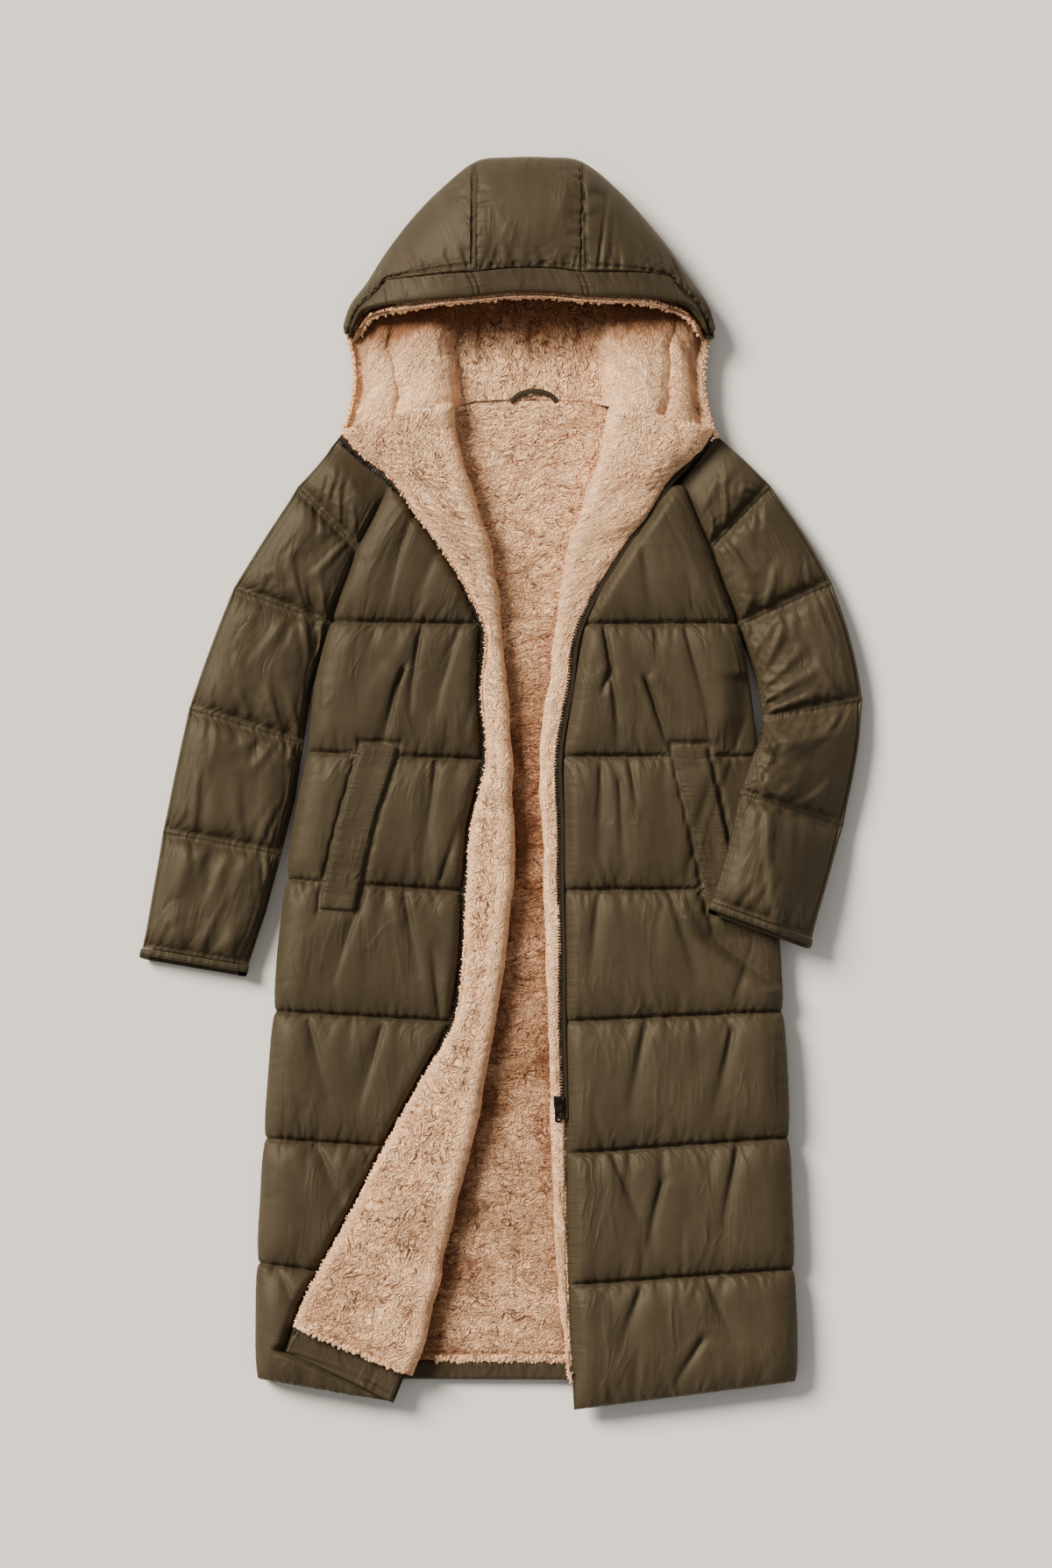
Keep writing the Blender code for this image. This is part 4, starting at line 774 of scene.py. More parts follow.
def front_shell(name, node, table, heights, inward, marks, welt, seed, press=None,
                turned=False):
    """A front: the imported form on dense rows, creased, settled, refined and wrapped round;
    press lays it flat under the sleeve and turned carries it on round the fold."""
    channel = channel_rows(0.0, 7.0, ROWS_A_CHANNEL)
    side, edge = ends(table, channel, "side"), ends(table, channel, "edge")
    centre, fold_way = fold_line(table, heights, channel)
    reach = centre if turned else edge
    corner = TURNED_CORNER if turned else None
    across = np.linspace(0, 1, SHOWN_COLUMNS) ** COLUMN_CROWDING
    shown = visible_length(table, side, reach, inward, corner)[:, None]
    hidden = shown + (1 - shown) * np.array(HIDDEN_PARTS)[None]
    plan = between(side[:, None], reach[:, None],
                   np.concatenate([shown * across[None], hidden], 1))
    along = np.linalg.norm(plan - side[:, None], axis=-1)
    row = channel[:, None] + along * 0
    up = row * CHANNEL_MM
    puffed = fullness(channel)[:, None]
    beside = inward * (edge_x_at(table, plan[..., 1], corner) - plan[..., 0])
    slope = TURNED_EDGE_SLOPE if turned else EDGE_SLOPE
    depth = EDGE_THICK + (SEAM_SHOWN + (CROWN_THICK - SEAM_SHOWN) * puffed - EDGE_THICK) * eased(
        (beside - EDGE_FLAT) / slope)
    if press is not None:
        width = straight(press, PRESS_COLUMNS, "width", channel)[:, None]
        loose = np.where(width > 0, eased((along - width) / PRESS_SLOPE), 1.0)
        depth = EDGE_THICK + (depth - EDGE_THICK) * loose
    place = np.concatenate([across, np.full(len(HIDDEN_PARTS), 1.2)])[None]
    under_welt = welt_part(welt, row, place, WELT_FADE)
    level = EDGE_THICK + (WELT_LEVEL - EDGE_THICK) * np.clip((depth - EDGE_THICK + 4) / 6, 0, 1)
    depth = np.maximum(depth, depth + (level - depth) * welt_part(welt, row, place, STAY_FADE))
    rim = np.clip((channel - RAGLAN_CHANNEL) / RAGLAN_RISE, 0, 1)[:, None]
    rim_outer = SIDE_SEAM_Z + GAP + (FRONT_SHELL_Z + SEAM_THICK - SIDE_SEAM_Z - GAP) * rim
    rim_inner = SIDE_SEAM_Z + GAP + (FRONT_SHELL_Z - SIDE_SEAM_Z - GAP) * rim
    outer = layer(plan, rim_outer + (FRONT_SHELL_Z + depth - rim_outer)
                  * rounded(along / SIDE_ROUND))
    base = rim_inner + (FRONT_SHELL_Z - rim_inner) * rounded(along / BASE_ROUND)
    inner = layer(plan, base)
    outer[..., 0] -= inward * (SCALLOP * puffed * (1 - rim)
                               * (1 - eased(along / SCALLOP_REACH)))
    inner[..., 0] += (1 - rim) * SEAM_WALL * (1 - np.clip(along / SEAM_TURN, 0, 1)) * inward
    draw = np.random.default_rng(seed)
    seams = [(line * CHANNEL_MM, line < 7, line > 0) for line in range(8)]
    marks = in_mm(marks, CHANNEL_MM)
    long_marks = marks + puckers(draw, seams, PUCKERED_WIDTH, *WIDE_PUCKERS)
    short_marks = puckers(draw, seams, PUCKERED_WIDTH, *NARROW_PUCKERS) + sharper(marks)
    padding = np.clip((depth - EDGE_THICK) / (CROWN_THICK - EDGE_THICK) + 0.15, 0, 1)
    soft = np.clip((beside - EDGE_FLAT) / 5, 0, 1) * rounded(along / 12) * (1 - under_welt)
    outer[..., 2] += creased(along, up, long_marks) * padding * soft
    held = (under_welt > 0.02) & (under_welt < 0.98)
    held[from_line(channel) < 1e-6] = True
    held[0] = held[-1] = held[:, 0] = held[:, SHOWN_COLUMNS - 1:] = True
    near_seam = np.exp(-from_line(channel) / SEAM_NEAR)[:, None] + along * 0
    outer = settled(outer, held, (SPARE_ACROSS[0] + SPARE_ACROSS[1] * near_seam) * soft,
                    (SPARE_ALONG + along * 0) * soft, inward, base + PADDING_OVER)
    fine, under = refined(outer), refined(inner)
    fine_up, fine_along = refined(row) * CHANNEL_MM, refined(along)
    beside_edge = refined(np.maximum(beside, 0))
    shape = (creased(fine_along, fine_up, short_marks)
             + row_gathers(draw, fine_along, fine_up, CHANNEL_MM)
             + gathers(draw, fine_up, 0, np.maximum(beside_edge - EDGE_FLAT, 0), *EDGE_GATHERS)
             + gathers(draw, fine_up, 0, fine_along, *EDGE_GATHERS))
    fine = pushed(fine, shape * np.clip(refined(padding * soft), 0, 1), inward)
    if turned:
        fold_out, fold_in = turned_back(centre, edge, fold_way, len(fine))
        fine = np.concatenate([fine, fold_out], 1)
        under = np.concatenate([under, fold_in], 1)
    fine_channel = refined(channel[:, None])
    sewn_columns = np.full(fine.shape[:2], NO_SEAM)
    sewn_columns[:, :beside_edge.shape[1]] = np.abs(beside_edge - EDGE_FLAT - 1.0)
    made = shell_piece(name, wrapped(fine, under), inward,
                       edged(from_line(fine_channel) * CHANNEL_MM + fine[..., 0] * 0),
                       edged(sewn_columns))
    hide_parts(node)
    return {"piece": made, "channel": fine_channel[:, 0], "across": refined(across[None])[0],
            "face": fine[:, :2 * SHOWN_COLUMNS - 1]}


right = front_shell("right_front", "front_right", FRONT_RIGHT, FLEECE_RIGHT, 1, CREASES_RIGHT,
                    WELT_RIGHT, 11, turned=True)
left = front_shell("left_front", "front_left", FRONT_LEFT, FLEECE_LEFT, -1, CREASES_LEFT,
                   WELT_LEFT, 23, press=PRESS_LEFT)


# ---------------------------------------------------------------- sleeves and cuffs
# Raglan sleeves of the same quilted nylon, five channels from neck to cuff, pressed flat.
# They are sewn to the fronts, the back and the hood; the left forearm lies on the front.
# Each ends in a plain turned hem, topstitched.
SLEEVE_COLUMNS = ("channel", "outer_x", "outer_y", "front_x", "front_y",
                  "back_x", "back_y", "lift_in", "lift_out")
SLEEVE_RIGHT = (
    (0.00, -191, 407, -129, 352, -70, 438, 0, 0),
    (0.50, -216, 377, -148, 313, -106, 377, 0, 0),
    (1.00, -240, 348, -168, 275, -137, 312, 0, 0),
    (1.50, -279, 290, -184, 233, -170, 247, 0, 0),
    (2.00, -315, 229, -200, 188, -200, 188, 0, 0),
    (2.50, -343, 161, -223, 112, -223, 112, 0, 0),
    (3.00, -367, 89, -233, 48, -233, 48, 0, 0),
    (3.50, -384, 16, -243, -18, -243, -18, 0, 0),
    (4.00, -398, -56, -259, -82, -259, -82, 0, 0),
    (4.50, -411, -127, -277, -150, -277, -150, 0, 0),
    (5.00, -422, -192, -298, -213, -298, -213, 0, 0),
)
SLEEVE_LEFT = (
    (0.00, 252, 408, 210, 351, 136, 438, 0, 0),
    (0.50, 285, 381, 226, 312, 177, 377, 0, 0),
    (1.00, 314, 350, 242, 275, 208, 310, 0, 0),
    (1.50, 355, 293, 258, 231, 244, 243, 0, 0),
    (2.00, 386, 236, 275, 186, 275, 186, 0, 0),
    (2.50, 409, 172, 295, 128, 295, 128, 0, 0),
    (3.00, 422, 99, 306, 76, 306, 76, 4, 0),
    (3.25, 421, 61, 299, 47, 299, 47, 38, 0),
    (3.50, 416, 25, 289, 23, 289, 23, 38, 0),
    (4.00, 400, -49, 278, -10, 278, -10, 38, 0),
    (4.50, 382, -117, 264, -74, 264, -74, 38, 8),
    (5.00, 363, -181, 245, -138, 245, -138, 38, 14),
)
SLEEVE_ROUND = 44.0
SLEEVE_FLOOR_ROUND = 18.0
SLEEVE_INSET = 9.0
SLEEVE_ROWS = 22
SLEEVE_OVER = 36
SLEEVE_UNDER = 13
OVER_CROWDING = 0.11
UNDER_CROWDING = 0.13
SLEEVE_CHANNEL_MM = 140.0
SLEEVE_PUCKERED = 150.0
SLEEVE_SPARE = (0.02, 0.035, 0.008)
NARROW_SLEEVE_PUCKERS = ((7, 18), (10, 34), (1.8, 3.4), (0.5, 1.5))
WIDE_SLEEVE_PUCKERS = ((14, 38), (35, 80), (5, 9), (0.4, 1.5))
TUNNEL_STEP = 12
UNDERARM_CHANNEL = 2.0
TUBE_FROM = 1.5
LIFT_EASE = 4.0
CUFF_LENGTH = 9.0
CUFF_UNDER_LONGER = 5.0
# Hem of the cuff: part of its length, and how far it swells out there
CUFF = np.array(((0.03, 0.4), (0.12, 1.1), (0.35, 1.5), (0.7, 1.5), (0.92, 1.0), (1.0, 0.0)))
CUFF_FROM_STITCHES = np.array([9.0, 7.0, 5.5, 3.0, 0.0, 2.0, 4.0, 9.0, 9.0, 9.0])
SLEEVE_CREASES_RIGHT = (
    (3.00, 20, 2.55, 45, 7, 3.6), (3.03, 40, 3.30, 62, 6, 2.6), (2.98, 60, 2.70, 75, 6, 3.0),
    (2.20, 12, 1.75, 45, 7, 5.0), (2.05, 22, 1.62, 40, 6, 5.0), (1.95, 30, 1.45, 66, 8, 4.0),
    (1.90, 50, 2.25, 30, 8, 3.0), (2.04, 60, 2.50, 90, 10, 2.8), (1.02, 25, 1.60, 50, 8, 3.0),
    (0.96, 30, 0.40, 50, 8, 3.0), (0.95, 55, 0.35, 60, 7, 2.4), (3.96, 40, 3.40, 60, 10, 2.6),
    (4.05, 70, 4.60, 85, 10, 2.4), (4.90, 50, 4.40, 40, 9, 2.2),
)
SLEEVE_CREASES_LEFT = (
    (2.62, 4, 2.35, 60, 8, 7.0), (2.75, 6, 2.55, 78, 8, 6.0), (2.50, 2, 2.10, 45, 8, 6.0),
    (2.90, 4, 2.78, 70, 8, 5.0), (3.05, 10, 3.28, 70, 8, 5.0), (3.10, 4, 3.50, 40, 7, 5.0),
    (2.25, 4, 1.95, 50, 8, 4.5), (3.40, 6, 3.60, 60, 8, 4.0), (1.98, 30, 1.50, 60, 9, 3.0),
    (1.04, 30, 1.55, 45, 8, 2.6), (0.95, 25, 0.40, 42, 8, 3.0), (3.97, 60, 3.60, 95, 8, 3.0),
    (4.05, 50, 4.55, 62, 10, 2.4),
)


def sleeve_faces(table, channel, body, over, under):
    """Skin and lining of a sleeve: from its front seam over to the outer fold by the parts
    in over, and back beneath to its back seam by the parts in under; with the millimetres
    from the front seam or, beneath, from the back one."""
    fold, front, back = (
        plan_line(table, SLEEVE_COLUMNS, which, channel, curve)
        for which, curve in (("outer", read), ("front", straight), ("back", straight)))
    lift_in, lift_out = (straight(table, SLEEVE_COLUMNS, which, channel)[:, None]
                         for which in ("lift_in", "lift_out"))
    tube = eased((channel - TUBE_FROM) / (UNDERARM_CHANNEL - TUBE_FROM))[:, None]
    ramp_up = eased(channel / 0.5) * fullness(channel)
    puffed = (SEAM_THICK + (CROWN_THICK - SEAM_THICK) * ramp_up)[:, None]
    skins, linings, distances = [], [], []
    for start, parts, upper in ((front, over, True), (back, under, False)):
        width = np.linalg.norm(fold - start, axis=-1)[:, None]
        from_start = width * parts[None, :]
        size = SLEEVE_ROUND if upper else SLEEVE_FLOOR_ROUND
        half_gap = GAP / 2 if upper else -GAP / 2
        curl_in = rounded(from_start / size)
        curl_out = rounded((width - from_start) / size)
        middle = SIDE_SEAM_Z + half_gap
        open_z = FRONT_SHELL_Z + SEAM_THICK if upper else 0.0
        far_z = FRONT_SHELL_Z + puffed if upper else 0.0
        skin_in = middle + (open_z - middle) * (1 - tube)
        skin = skin_in + (SIDE_SEAM_Z + (far_z - SIDE_SEAM_Z) * curl_out - skin_in) * curl_in
        if upper:
            skin = np.where(parts[None, :] == 0, skin_in, skin)
        centre = (BACK_SHELL + FRONT_SHELL_Z) / 2 + half_gap
        plain = FRONT_SHELL_Z if upper else BACK_SHELL
        lining_in = centre + (plain - centre) * (1 - tube)
        lining = lining_in + (centre + (plain - centre) * curl_out - lining_in) * curl_in
        inset_out = SLEEVE_INSET / np.maximum(width, 1)
        inset_in = SLEEVE_INSET * tube / np.maximum(width, 1)
        shrunk = inset_in + (1 - inset_in - inset_out) * parts[None, :]
        for steps, level, grids in ((parts[None], skin, skins), (shrunk, lining, linings)):
            spot = between(start[:, None], fold[:, None], steps)
            edge = np.interp(spot[..., 1], body[:, 0], body[:, 1])
            run = np.maximum(fold[:, None, 0] - edge, 1.0)
            drop = eased((spot[..., 0] - edge + LIFT_EASE) / run)
            grids.append(layer(spot, level + lift_out + (lift_in - lift_out) * (1 - drop)))
        distances.append(from_start)
    return [np.concatenate(both, 1) for both in (skins, linings, distances)]


def crowded(count, amount):
    """Steps from 0 to 1, closer together at both ends: t - a sin(2 pi t)."""
    steps = np.linspace(0, 1, count)
    return steps - amount * np.sin(2 * np.pi * steps)


def cuff_hem(name, node, mouth, core, along_arm, facing):
    """Turned hem of a sleeve, from its mouth out and back in to the lining."""
    beneath = eased((np.arange(len(mouth)) - 2 * SLEEVE_OVER + 6) / 10)
    longer = 1 + beneath * CUFF_UNDER_LONGER / CUFF_LENGTH
    reach = (GAP + CUFF[:, 0] * (CUFF_LENGTH - GAP))[:, None, None] * longer[None, :, None]
    out = mouth - core
    out = out / np.maximum(np.linalg.norm(out, axis=-1, keepdims=True), 1)
    ring = mouth[None] + along_arm * reach + out[None] * CUFF[:, 1][:, None, None]
    ring[..., 2] = np.maximum(ring[..., 2], 0)
    back = core[None] + along_arm * reach[::-1][[0, 2, 5]]
    first = ring[:1] - along_arm * GAP * 0.5 - out[None] * 1.5
    cuff = shell_piece(name, np.concatenate([first, ring, back]), facing,
                       CUFF_FROM_STITCHES[:, None])
    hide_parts(node)


def sleeve(side, table, marks, facing, seed):
    """A sleeve and its hem, creased, settled on its padding and open at the mouth."""
    channel = channel_rows(0.0, 5.0, SLEEVE_ROWS)
    over = crowded(SLEEVE_OVER + 1, OVER_CROWDING)[:-1]
    under = crowded(SLEEVE_UNDER, UNDER_CROWDING)[::-1]
    body = np.array(FRONT_LEFT, dtype=float)[:13][:, [2, 1]]
    skin, lining, along = sleeve_faces(table, channel, body, over, under)
    up = (channel[:, None] + along * 0) * SLEEVE_CHANNEL_MM
    draw = np.random.default_rng(seed)
    seams = [(line * SLEEVE_CHANNEL_MM, line < 5, line > 0) for line in range(1, 6)]
    width = np.linalg.norm(skin[:, SLEEVE_OVER, :2] - skin[:, 0, :2], axis=-1)[:, None]
    soft = eased(along / 9) * eased((width - along) / 34)
    soft[:, SLEEVE_OVER:] = 0
    padding = (eased(channel / 0.5) * fullness(channel))[:, None] * 0.85 + 0.15
    marks = in_mm(marks, SLEEVE_CHANNEL_MM)
    wide = puckers(draw, seams, SLEEVE_PUCKERED, *WIDE_SLEEVE_PUCKERS)
    skin[..., 2] += creased(along, up, marks + wide) * soft * padding
    held = np.zeros(along.shape, dtype=bool)
    held[from_line(channel) < 1e-6] = True
    held[0] = held[-1] = held[:, 0] = True
    held[:, SLEEVE_OVER + 1:] = True
    near_seam = np.exp(-from_line(channel) / SEAM_NEAR)[:, None] + along * 0
    lowest = np.where(np.arange(along.shape[1]) < SLEEVE_OVER, lining[..., 2] + 1.5, 0.0)
    skin = settled(skin, held, (SLEEVE_SPARE[0] + SLEEVE_SPARE[1] * near_seam) * soft,
                   SLEEVE_SPARE[2] * soft, facing, lowest)
    skin[..., 2] = np.maximum(skin[..., 2], 0)
    fine_along, fine_up, fine_soft = np.moveaxis(
        refined(np.stack([along, up, soft * padding], -1)), -1, 0)
    narrow = puckers(draw, seams, SLEEVE_PUCKERED, *NARROW_SLEEVE_PUCKERS)
    shape = (creased(fine_along, fine_up, narrow + sharper(marks))
             + row_gathers(draw, fine_along, fine_up, SLEEVE_CHANNEL_MM)
             + gathers(draw, fine_up, 0, fine_along, *EDGE_GATHERS))
    fine = pushed(refined(skin), shape * np.clip(fine_soft, 0, 1), facing)
    fine[..., 2] = np.maximum(fine[..., 2], 0)
    inner = refined(lining)
    tunnel = inner[::-TUNNEL_STEP]
    whole = np.concatenate([wrapped(fine, inner)[:-2], wrapped(tunnel, tunnel, LAP)[2:-2]])
    fine_channel = refined(channel[:, None])
    sewn_rows = np.where(fine_channel < 0.5, NO_SEAM, from_line(fine_channel) * SLEEVE_CHANNEL_MM)
    sewn_columns = edged(fine_along)
    sewn_columns[:, -2 * SLEEVE_UNDER:] = NO_SEAM
    tunnel_rows = (0, len(whole) - len(sewn_columns)), (0, 0)
    made = shell_piece(side + "_sleeve", whole, facing,
                       *(np.pad(near, tunnel_rows, mode="edge")
                         for near in (edged(sewn_rows + fine[..., 0] * 0), sewn_columns)))
    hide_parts("sleeve_" + side)
    along_arm = fine[-1] - fine[-6]
    along_arm[:, 2] = 0
    along_arm = along_arm.mean(axis=0) / np.linalg.norm(along_arm.mean(axis=0))
    cuff_hem(side + "_cuff", "cuff_" + side, fine[-1], inner[-1], along_arm, facing)


sleeve("right", SLEEVE_RIGHT, SLEEVE_CREASES_RIGHT, -1, 5)
sleeve("left", SLEEVE_LEFT, SLEEVE_CREASES_LEFT, 1, 8)


# ---------------------------------------------------------------- fleece of the fronts
# Sherpa pile fleece lines each front. It comes out from under the shell, rolls round the
# opening and lies turned out to the zip, where its curly edge stands over the tape.
FLEECE_TOP = 5.0
CREST_SLOPE = 42.0
CREST_START = 2.0
EDGE_DROP = 2.0
NECK_START = 0.65
NECK_LAP = 7.0
NECK_TUCK = 5.5
NECK_CHANNEL = 8.0
BACK_EDGE_INSET = 24.0
FLEECE_ROWS = 62
UNDER_STEPS = np.array([[0, 0.6, 0.9]])
ROLL_ANGLES = (-80, 84, 13)
NUB_MM = 4.6
NUB_HEIGHT = 0.6
CURL_HEIGHT = 1.0
CRACK_DEPTH = 0.6
SWELL_MM = 34.0
SWELL_HEIGHT = 2.6
SMOOTH_PART = 0.35
SMOOTH_LAPEL = 0.10
LOW_SHADE = 0.20


def cloud(draw, across, up, size_across, size_up):
    """Soft random field from -1 to 1: seeded values on a lattice, eased between its points."""
    x, y = across / size_across, up / size_up
    x, y = x - np.floor(x.min()), y - np.floor(y.min())
    values = draw.uniform(-1, 1, (int(x.max()) + 3, int(y.max()) + 3))
    i, j = x.astype(int), y.astype(int)
    s, t = eased(x - i), eased(y - j)
    return ((values[i, j] * (1 - s) + values[i + 1, j] * s) * (1 - t)
            + (values[i, j + 1] * (1 - s) + values[i + 1, j + 1] * s) * t)


def nubs(draw, across, up, size):
    """Rounded grains: sqrt(1 - (d / r)^2) over the nearest of one seeded point a cell."""
    x, y = across / size, up / size
    x, y = x - np.floor(x.min()) + 1, y - np.floor(y.min()) + 1
    spot = draw.uniform(0, 1, (int(x.max()) + 3, int(y.max()) + 3, 2))
    i, j = x.astype(int), y.astype(int)
    near = np.full(x.shape, 9.0)
    for a in (-1, 0, 1):
        for b in (-1, 0, 1):
            place = spot[i + a, j + b]
            away = np.hypot(x - i - a - place[..., 0], y - j - b - place[..., 1])
            near = np.minimum(near, away)
    return np.sqrt(np.clip(1 - (near / 0.95) ** 2, 0, 1))


def pile(points, seed, facing=1, lean=1.0, flat=1.0):
    """Grid of fleece raised along its normals by nubs, curls stretched across by lean and
    a broad swell; flat is 0 where the cloth stays thin. Gives points and a painted shade tone,
    lighter on high pile and darker in its cracks."""
    draw = np.random.default_rng(seed)
    across, up = np.moveaxis(cloth_map(points), -1, 0)
    bent_x = across + 3.0 * cloud(draw, across, up, 17, 13)
    bent_y = up + 3.0 * cloud(draw, across, up, 15, 15)
    grain = nubs(draw, bent_x, bent_y, NUB_MM)
    curl = 1 - np.abs(cloud(draw, bent_x, bent_y, 9 * lean, 7 / lean)) * 2
    crack = np.exp(-(cloud(draw, bent_x, bent_y, 26, 21) / 0.09) ** 2)
    swell = cloud(draw, across, up, SWELL_MM, SWELL_MM)
    height = (NUB_HEIGHT * grain + CURL_HEIGHT * 0.5 * (curl + 1) - CRACK_DEPTH * crack
              + SWELL_HEIGHT * swell)
    # Painted shade: the tone follows the pile's height, darker in its cracks and hollows
    nap = 0.12 * grain + 0.10 * (curl + 1) / 2 - 0.12 * crack + 0.12 * swell + 0.44
    return pushed(points, height * flat, facing), nap


# Curly polyester pile, knitted, brushed and tumbled: dull and soft, parted by fine furrows that
# wander with the nap; painted shade darkens the furrows and the grains' hollows and turns shaded
# pile brown.
FLEECE_STOPS = ((0.12, "#8a5f44"), (0.56, "#f6b585"), (0.90, "#ffcd9c"))
PAINTED_SHADE_STOPS = ((0.0, "#8a7264"), (0.50, "#ffffff"))
FLEECE_SHEEN_HEX = "#ffd0a8"
FLEECE_BUMP = 0.0040
# Coarse and fine furrows: share of the scale and half width; then how dark the painted shade in
# them cuts
FURROWS = ((1.0, 0.080), (0.36, 0.034))
FINE_FURROWS = 0.9
FURROW_CUT = 0.74
LOOSE_TONE = 1.24
GRAIN_CUT = 0.70
FUZZ_LIFT = 0.20
WANDER = (24.0, 24.0, 0.0)


def sherpa_fleece(name, across_scale, up_scale):
    """Colour and bump of the pile: furrows lie where a stretched, bent noise passes its
    middle, deeper in patches and where parted is high; they are painted darker as shade, and
    the painted shade and tone of each point tints it."""
    made, tree, shader = new_material(name)
    cloth = add_node(tree, "UVMap", uv_map="cloth")["UV"]
    at = stretched(tree, cloth, (1000.0, 1000.0, 1.0))
    wander = add_node(tree, "TexNoise", {"Vector": at, "Scale": 0.042, "Detail": 2.0})["Color"]
    bent_at = add_node(tree, "VectorMath", {0: wander, 1: WANDER, 2: at},
                       operation="MULTIPLY_ADD")["Vector"]
    coarse, fine = (
        ridges(tree, noise(tree, stretched(tree, bent_at, (across_scale * part,
                                                           up_scale * part, 1.0)),
                           1.0, 1.0), width, 1.0) for part, width in FURROWS)
    depth = add_node(tree, "MapRange", {
        "Value": noise(tree, at, 0.045, 2.0), "From Min": 0.34, "From Max": 0.58,
        "To Min": 0.55, "To Max": 1.0})["Result"]
    parted = add_node(tree, "Attribute", attribute_name="parted")["Fac"]
    # Painted shade: the furrows and the hollows between the grains are coloured darker as well as
    # bumped
    cut = maths(tree, "MULTIPLY", maths(tree, "MULTIPLY_ADD", fine, FINE_FURROWS, coarse),
                maths(tree, "MULTIPLY", parted, depth))
    total = maths(tree, "MULTIPLY_ADD", cut, -FURROW_CUT, LOOSE_TONE)
    grains = add_node(tree, "TexVoronoi", {"Vector": bent_at, "Scale": 0.40,
                                           "Smoothness": 0.35, "Randomness": 1.0},
                      feature="SMOOTH_F1")["Distance"]
    total = maths(tree, "MULTIPLY_ADD", grains, -GRAIN_CUT, total)
    total = maths(tree, "MULTIPLY_ADD", noise(tree, at, 1.0, 3.0, Roughness=0.7), FUZZ_LIFT,
                  total)
    # Painted shade: low values of the point attribute multiply the pile's colour towards brown
    nap = add_node(tree, "Attribute", attribute_name="nap")["Fac"]
    tinted = add_node(tree, "Mix", {0: 1.0, 6: ramp(tree, total, *FLEECE_STOPS),
                                    7: ramp(tree, nap, *PAINTED_SHADE_STOPS)},
                      data_type="RGBA", blend_type="MULTIPLY")[2]
    bump = add_node(tree, "Bump", {"Height": total, "Strength": 1.0, "Distance": FLEECE_BUMP})
    set_inputs(tree, shader, {
        "Base Color": tinted, "Normal": bump["Normal"], "Roughness": 0.95,
        "Specular IOR Level": 0.12, "Sheen Weight": 0.12, "Sheen Roughness": 0.6,
        "Sheen Tint": linear(FLEECE_SHEEN_HEX)})
    return made


# The furrows of the fronts run up the coat, those of the back across it
fleece_cloth = sherpa_fleece("peach_sherpa_fleece_up", 0.32, 0.125)
fleece_across = sherpa_fleece("peach_sherpa_fleece_across", 0.105, 0.33)


def fleece_piece(name, raised, inner, facing, surface, nap, parted):
    """Piece of the fleece from its pile side and its plain side."""
    return cloth_piece(name, wrapped(raised, inner, 1), facing, surface, "peach_sherpa_fleece",
                       nap=edged(nap), parted=edged(parted))


def front_fleece(name, node, table, heights, inward, first, columns, seed, most):
    """Fleece of a front from under the shell round the fold and out to the zip edge; the
    furrows reach their most in the middle, the pile is smooth along the roll and the zip."""
    channel = np.linspace(first, NECK_CHANNEL, round((NECK_CHANNEL - first) * FLEECE_ROWS))
    side, fold, edge = (ends(table, channel, which) for which in ("side", "fold", "edge"))
    centre, fold_way = fold_line(table, heights, channel)
    crest_z, edge_z = (straight(heights, FLEECE_COLUMNS, which, channel)[:, None]
                       for which in ("crest_z", "edge_z"))
    neck = np.clip((channel - RAGLAN_CHANNEL) / 2, 0, 1)[:, None]
    start = (side + np.array([inward * BACK_EDGE_INSET, 0.0])) * (1 - neck) + (
        edge + (fold - edge) * NECK_START) * neck
    under = between(start[:, None], centre[:, None], UNDER_STEPS)
    last = edge + fold_way * GAP
    length = np.linalg.norm(last - centre, axis=-1)[:, None]
    flat = between(centre[:, None], last[:, None], np.linspace(0, 1, columns)[None])
    away = np.linalg.norm(flat - last[:, None], axis=-1)
    top = edge_z + (crest_z - edge_z) * rounded((away - CREST_START) / CREST_SLOPE)
    top = top - EDGE_DROP * (1 - eased(away / 5.0))
    turn = np.radians(np.linspace(*ROLL_ANGLES))
    over_neck = NECK_LAP * eased((channel - NECK_CHANNEL + 0.25) / 0.25)
    tucked = NECK_TUCK * eased((channel - NECK_CHANNEL + 0.07) / 0.07)
    faces = []
    for base, radius, level, rise in (
            (FRONT_LINING_Z, (top[:, :1] - FRONT_LINING_Z) / 2, top, 0.4 * over_neck - tucked),
            (FRONT_LINING_Z + LINING, (top[:, :1] - FLEECE_TOP - FRONT_LINING_Z - LINING) / 2,
             top - FLEECE_TOP, -tucked)):
        face = np.concatenate([layer(under, base),
                               bent(centre, fold_way, turn, radius, base + radius),
                               layer(flat, level)], 1)
        face[:, 3:, 1] += over_neck[:, None]
        face[:, 3:, 2] += rise[:, None]
        faces.append(face)
    outer, inner = faces
    rolled = np.zeros((len(channel), outer.shape[1] - columns))
    free = np.concatenate([rolled + 1, eased(away / 4) * 0.8 + 0.2], 1)
    free[:, :5] = 0
    raised, nap = pile(outer, seed, -inward, flat=free)
    nap = nap - LOW_SHADE * (1 - eased((channel - 1.5) / 3.0))[:, None]
    loose = eased((away - 3) / 12) * eased((length - away + 2) / 12)
    here = most * (1 - SMOOTH_LAPEL * eased((channel - 4.6) / 1.6))[:, None]
    parted = SMOOTH_PART + (here - SMOOTH_PART) * np.concatenate([rolled, loose], 1)
    made = fleece_piece(name, raised, inner, -inward, fleece_cloth, nap, parted)
    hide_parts(node)
    return {"piece": made, "face": raised}


right_fleece = front_fleece("right_fleece", "front_lining_right", FRONT_RIGHT, FLEECE_RIGHT, 1,
                            0.27, 74, 31, 1.0)
left_fleece = front_fleece("left_fleece", "front_lining_left", FRONT_LEFT, FLEECE_LEFT, -1,
                           0.16, 46, 37, 0.75)


# ---------------------------------------------------------------- back
# The back is one quilted panel that the coat lies on, curling up to the side seams.
# Its fleece lining shows through the open front; the shell is turned up at the hem.
BACK_COLUMNS = ("channel", "right_x", "right_y", "left_x", "left_y")
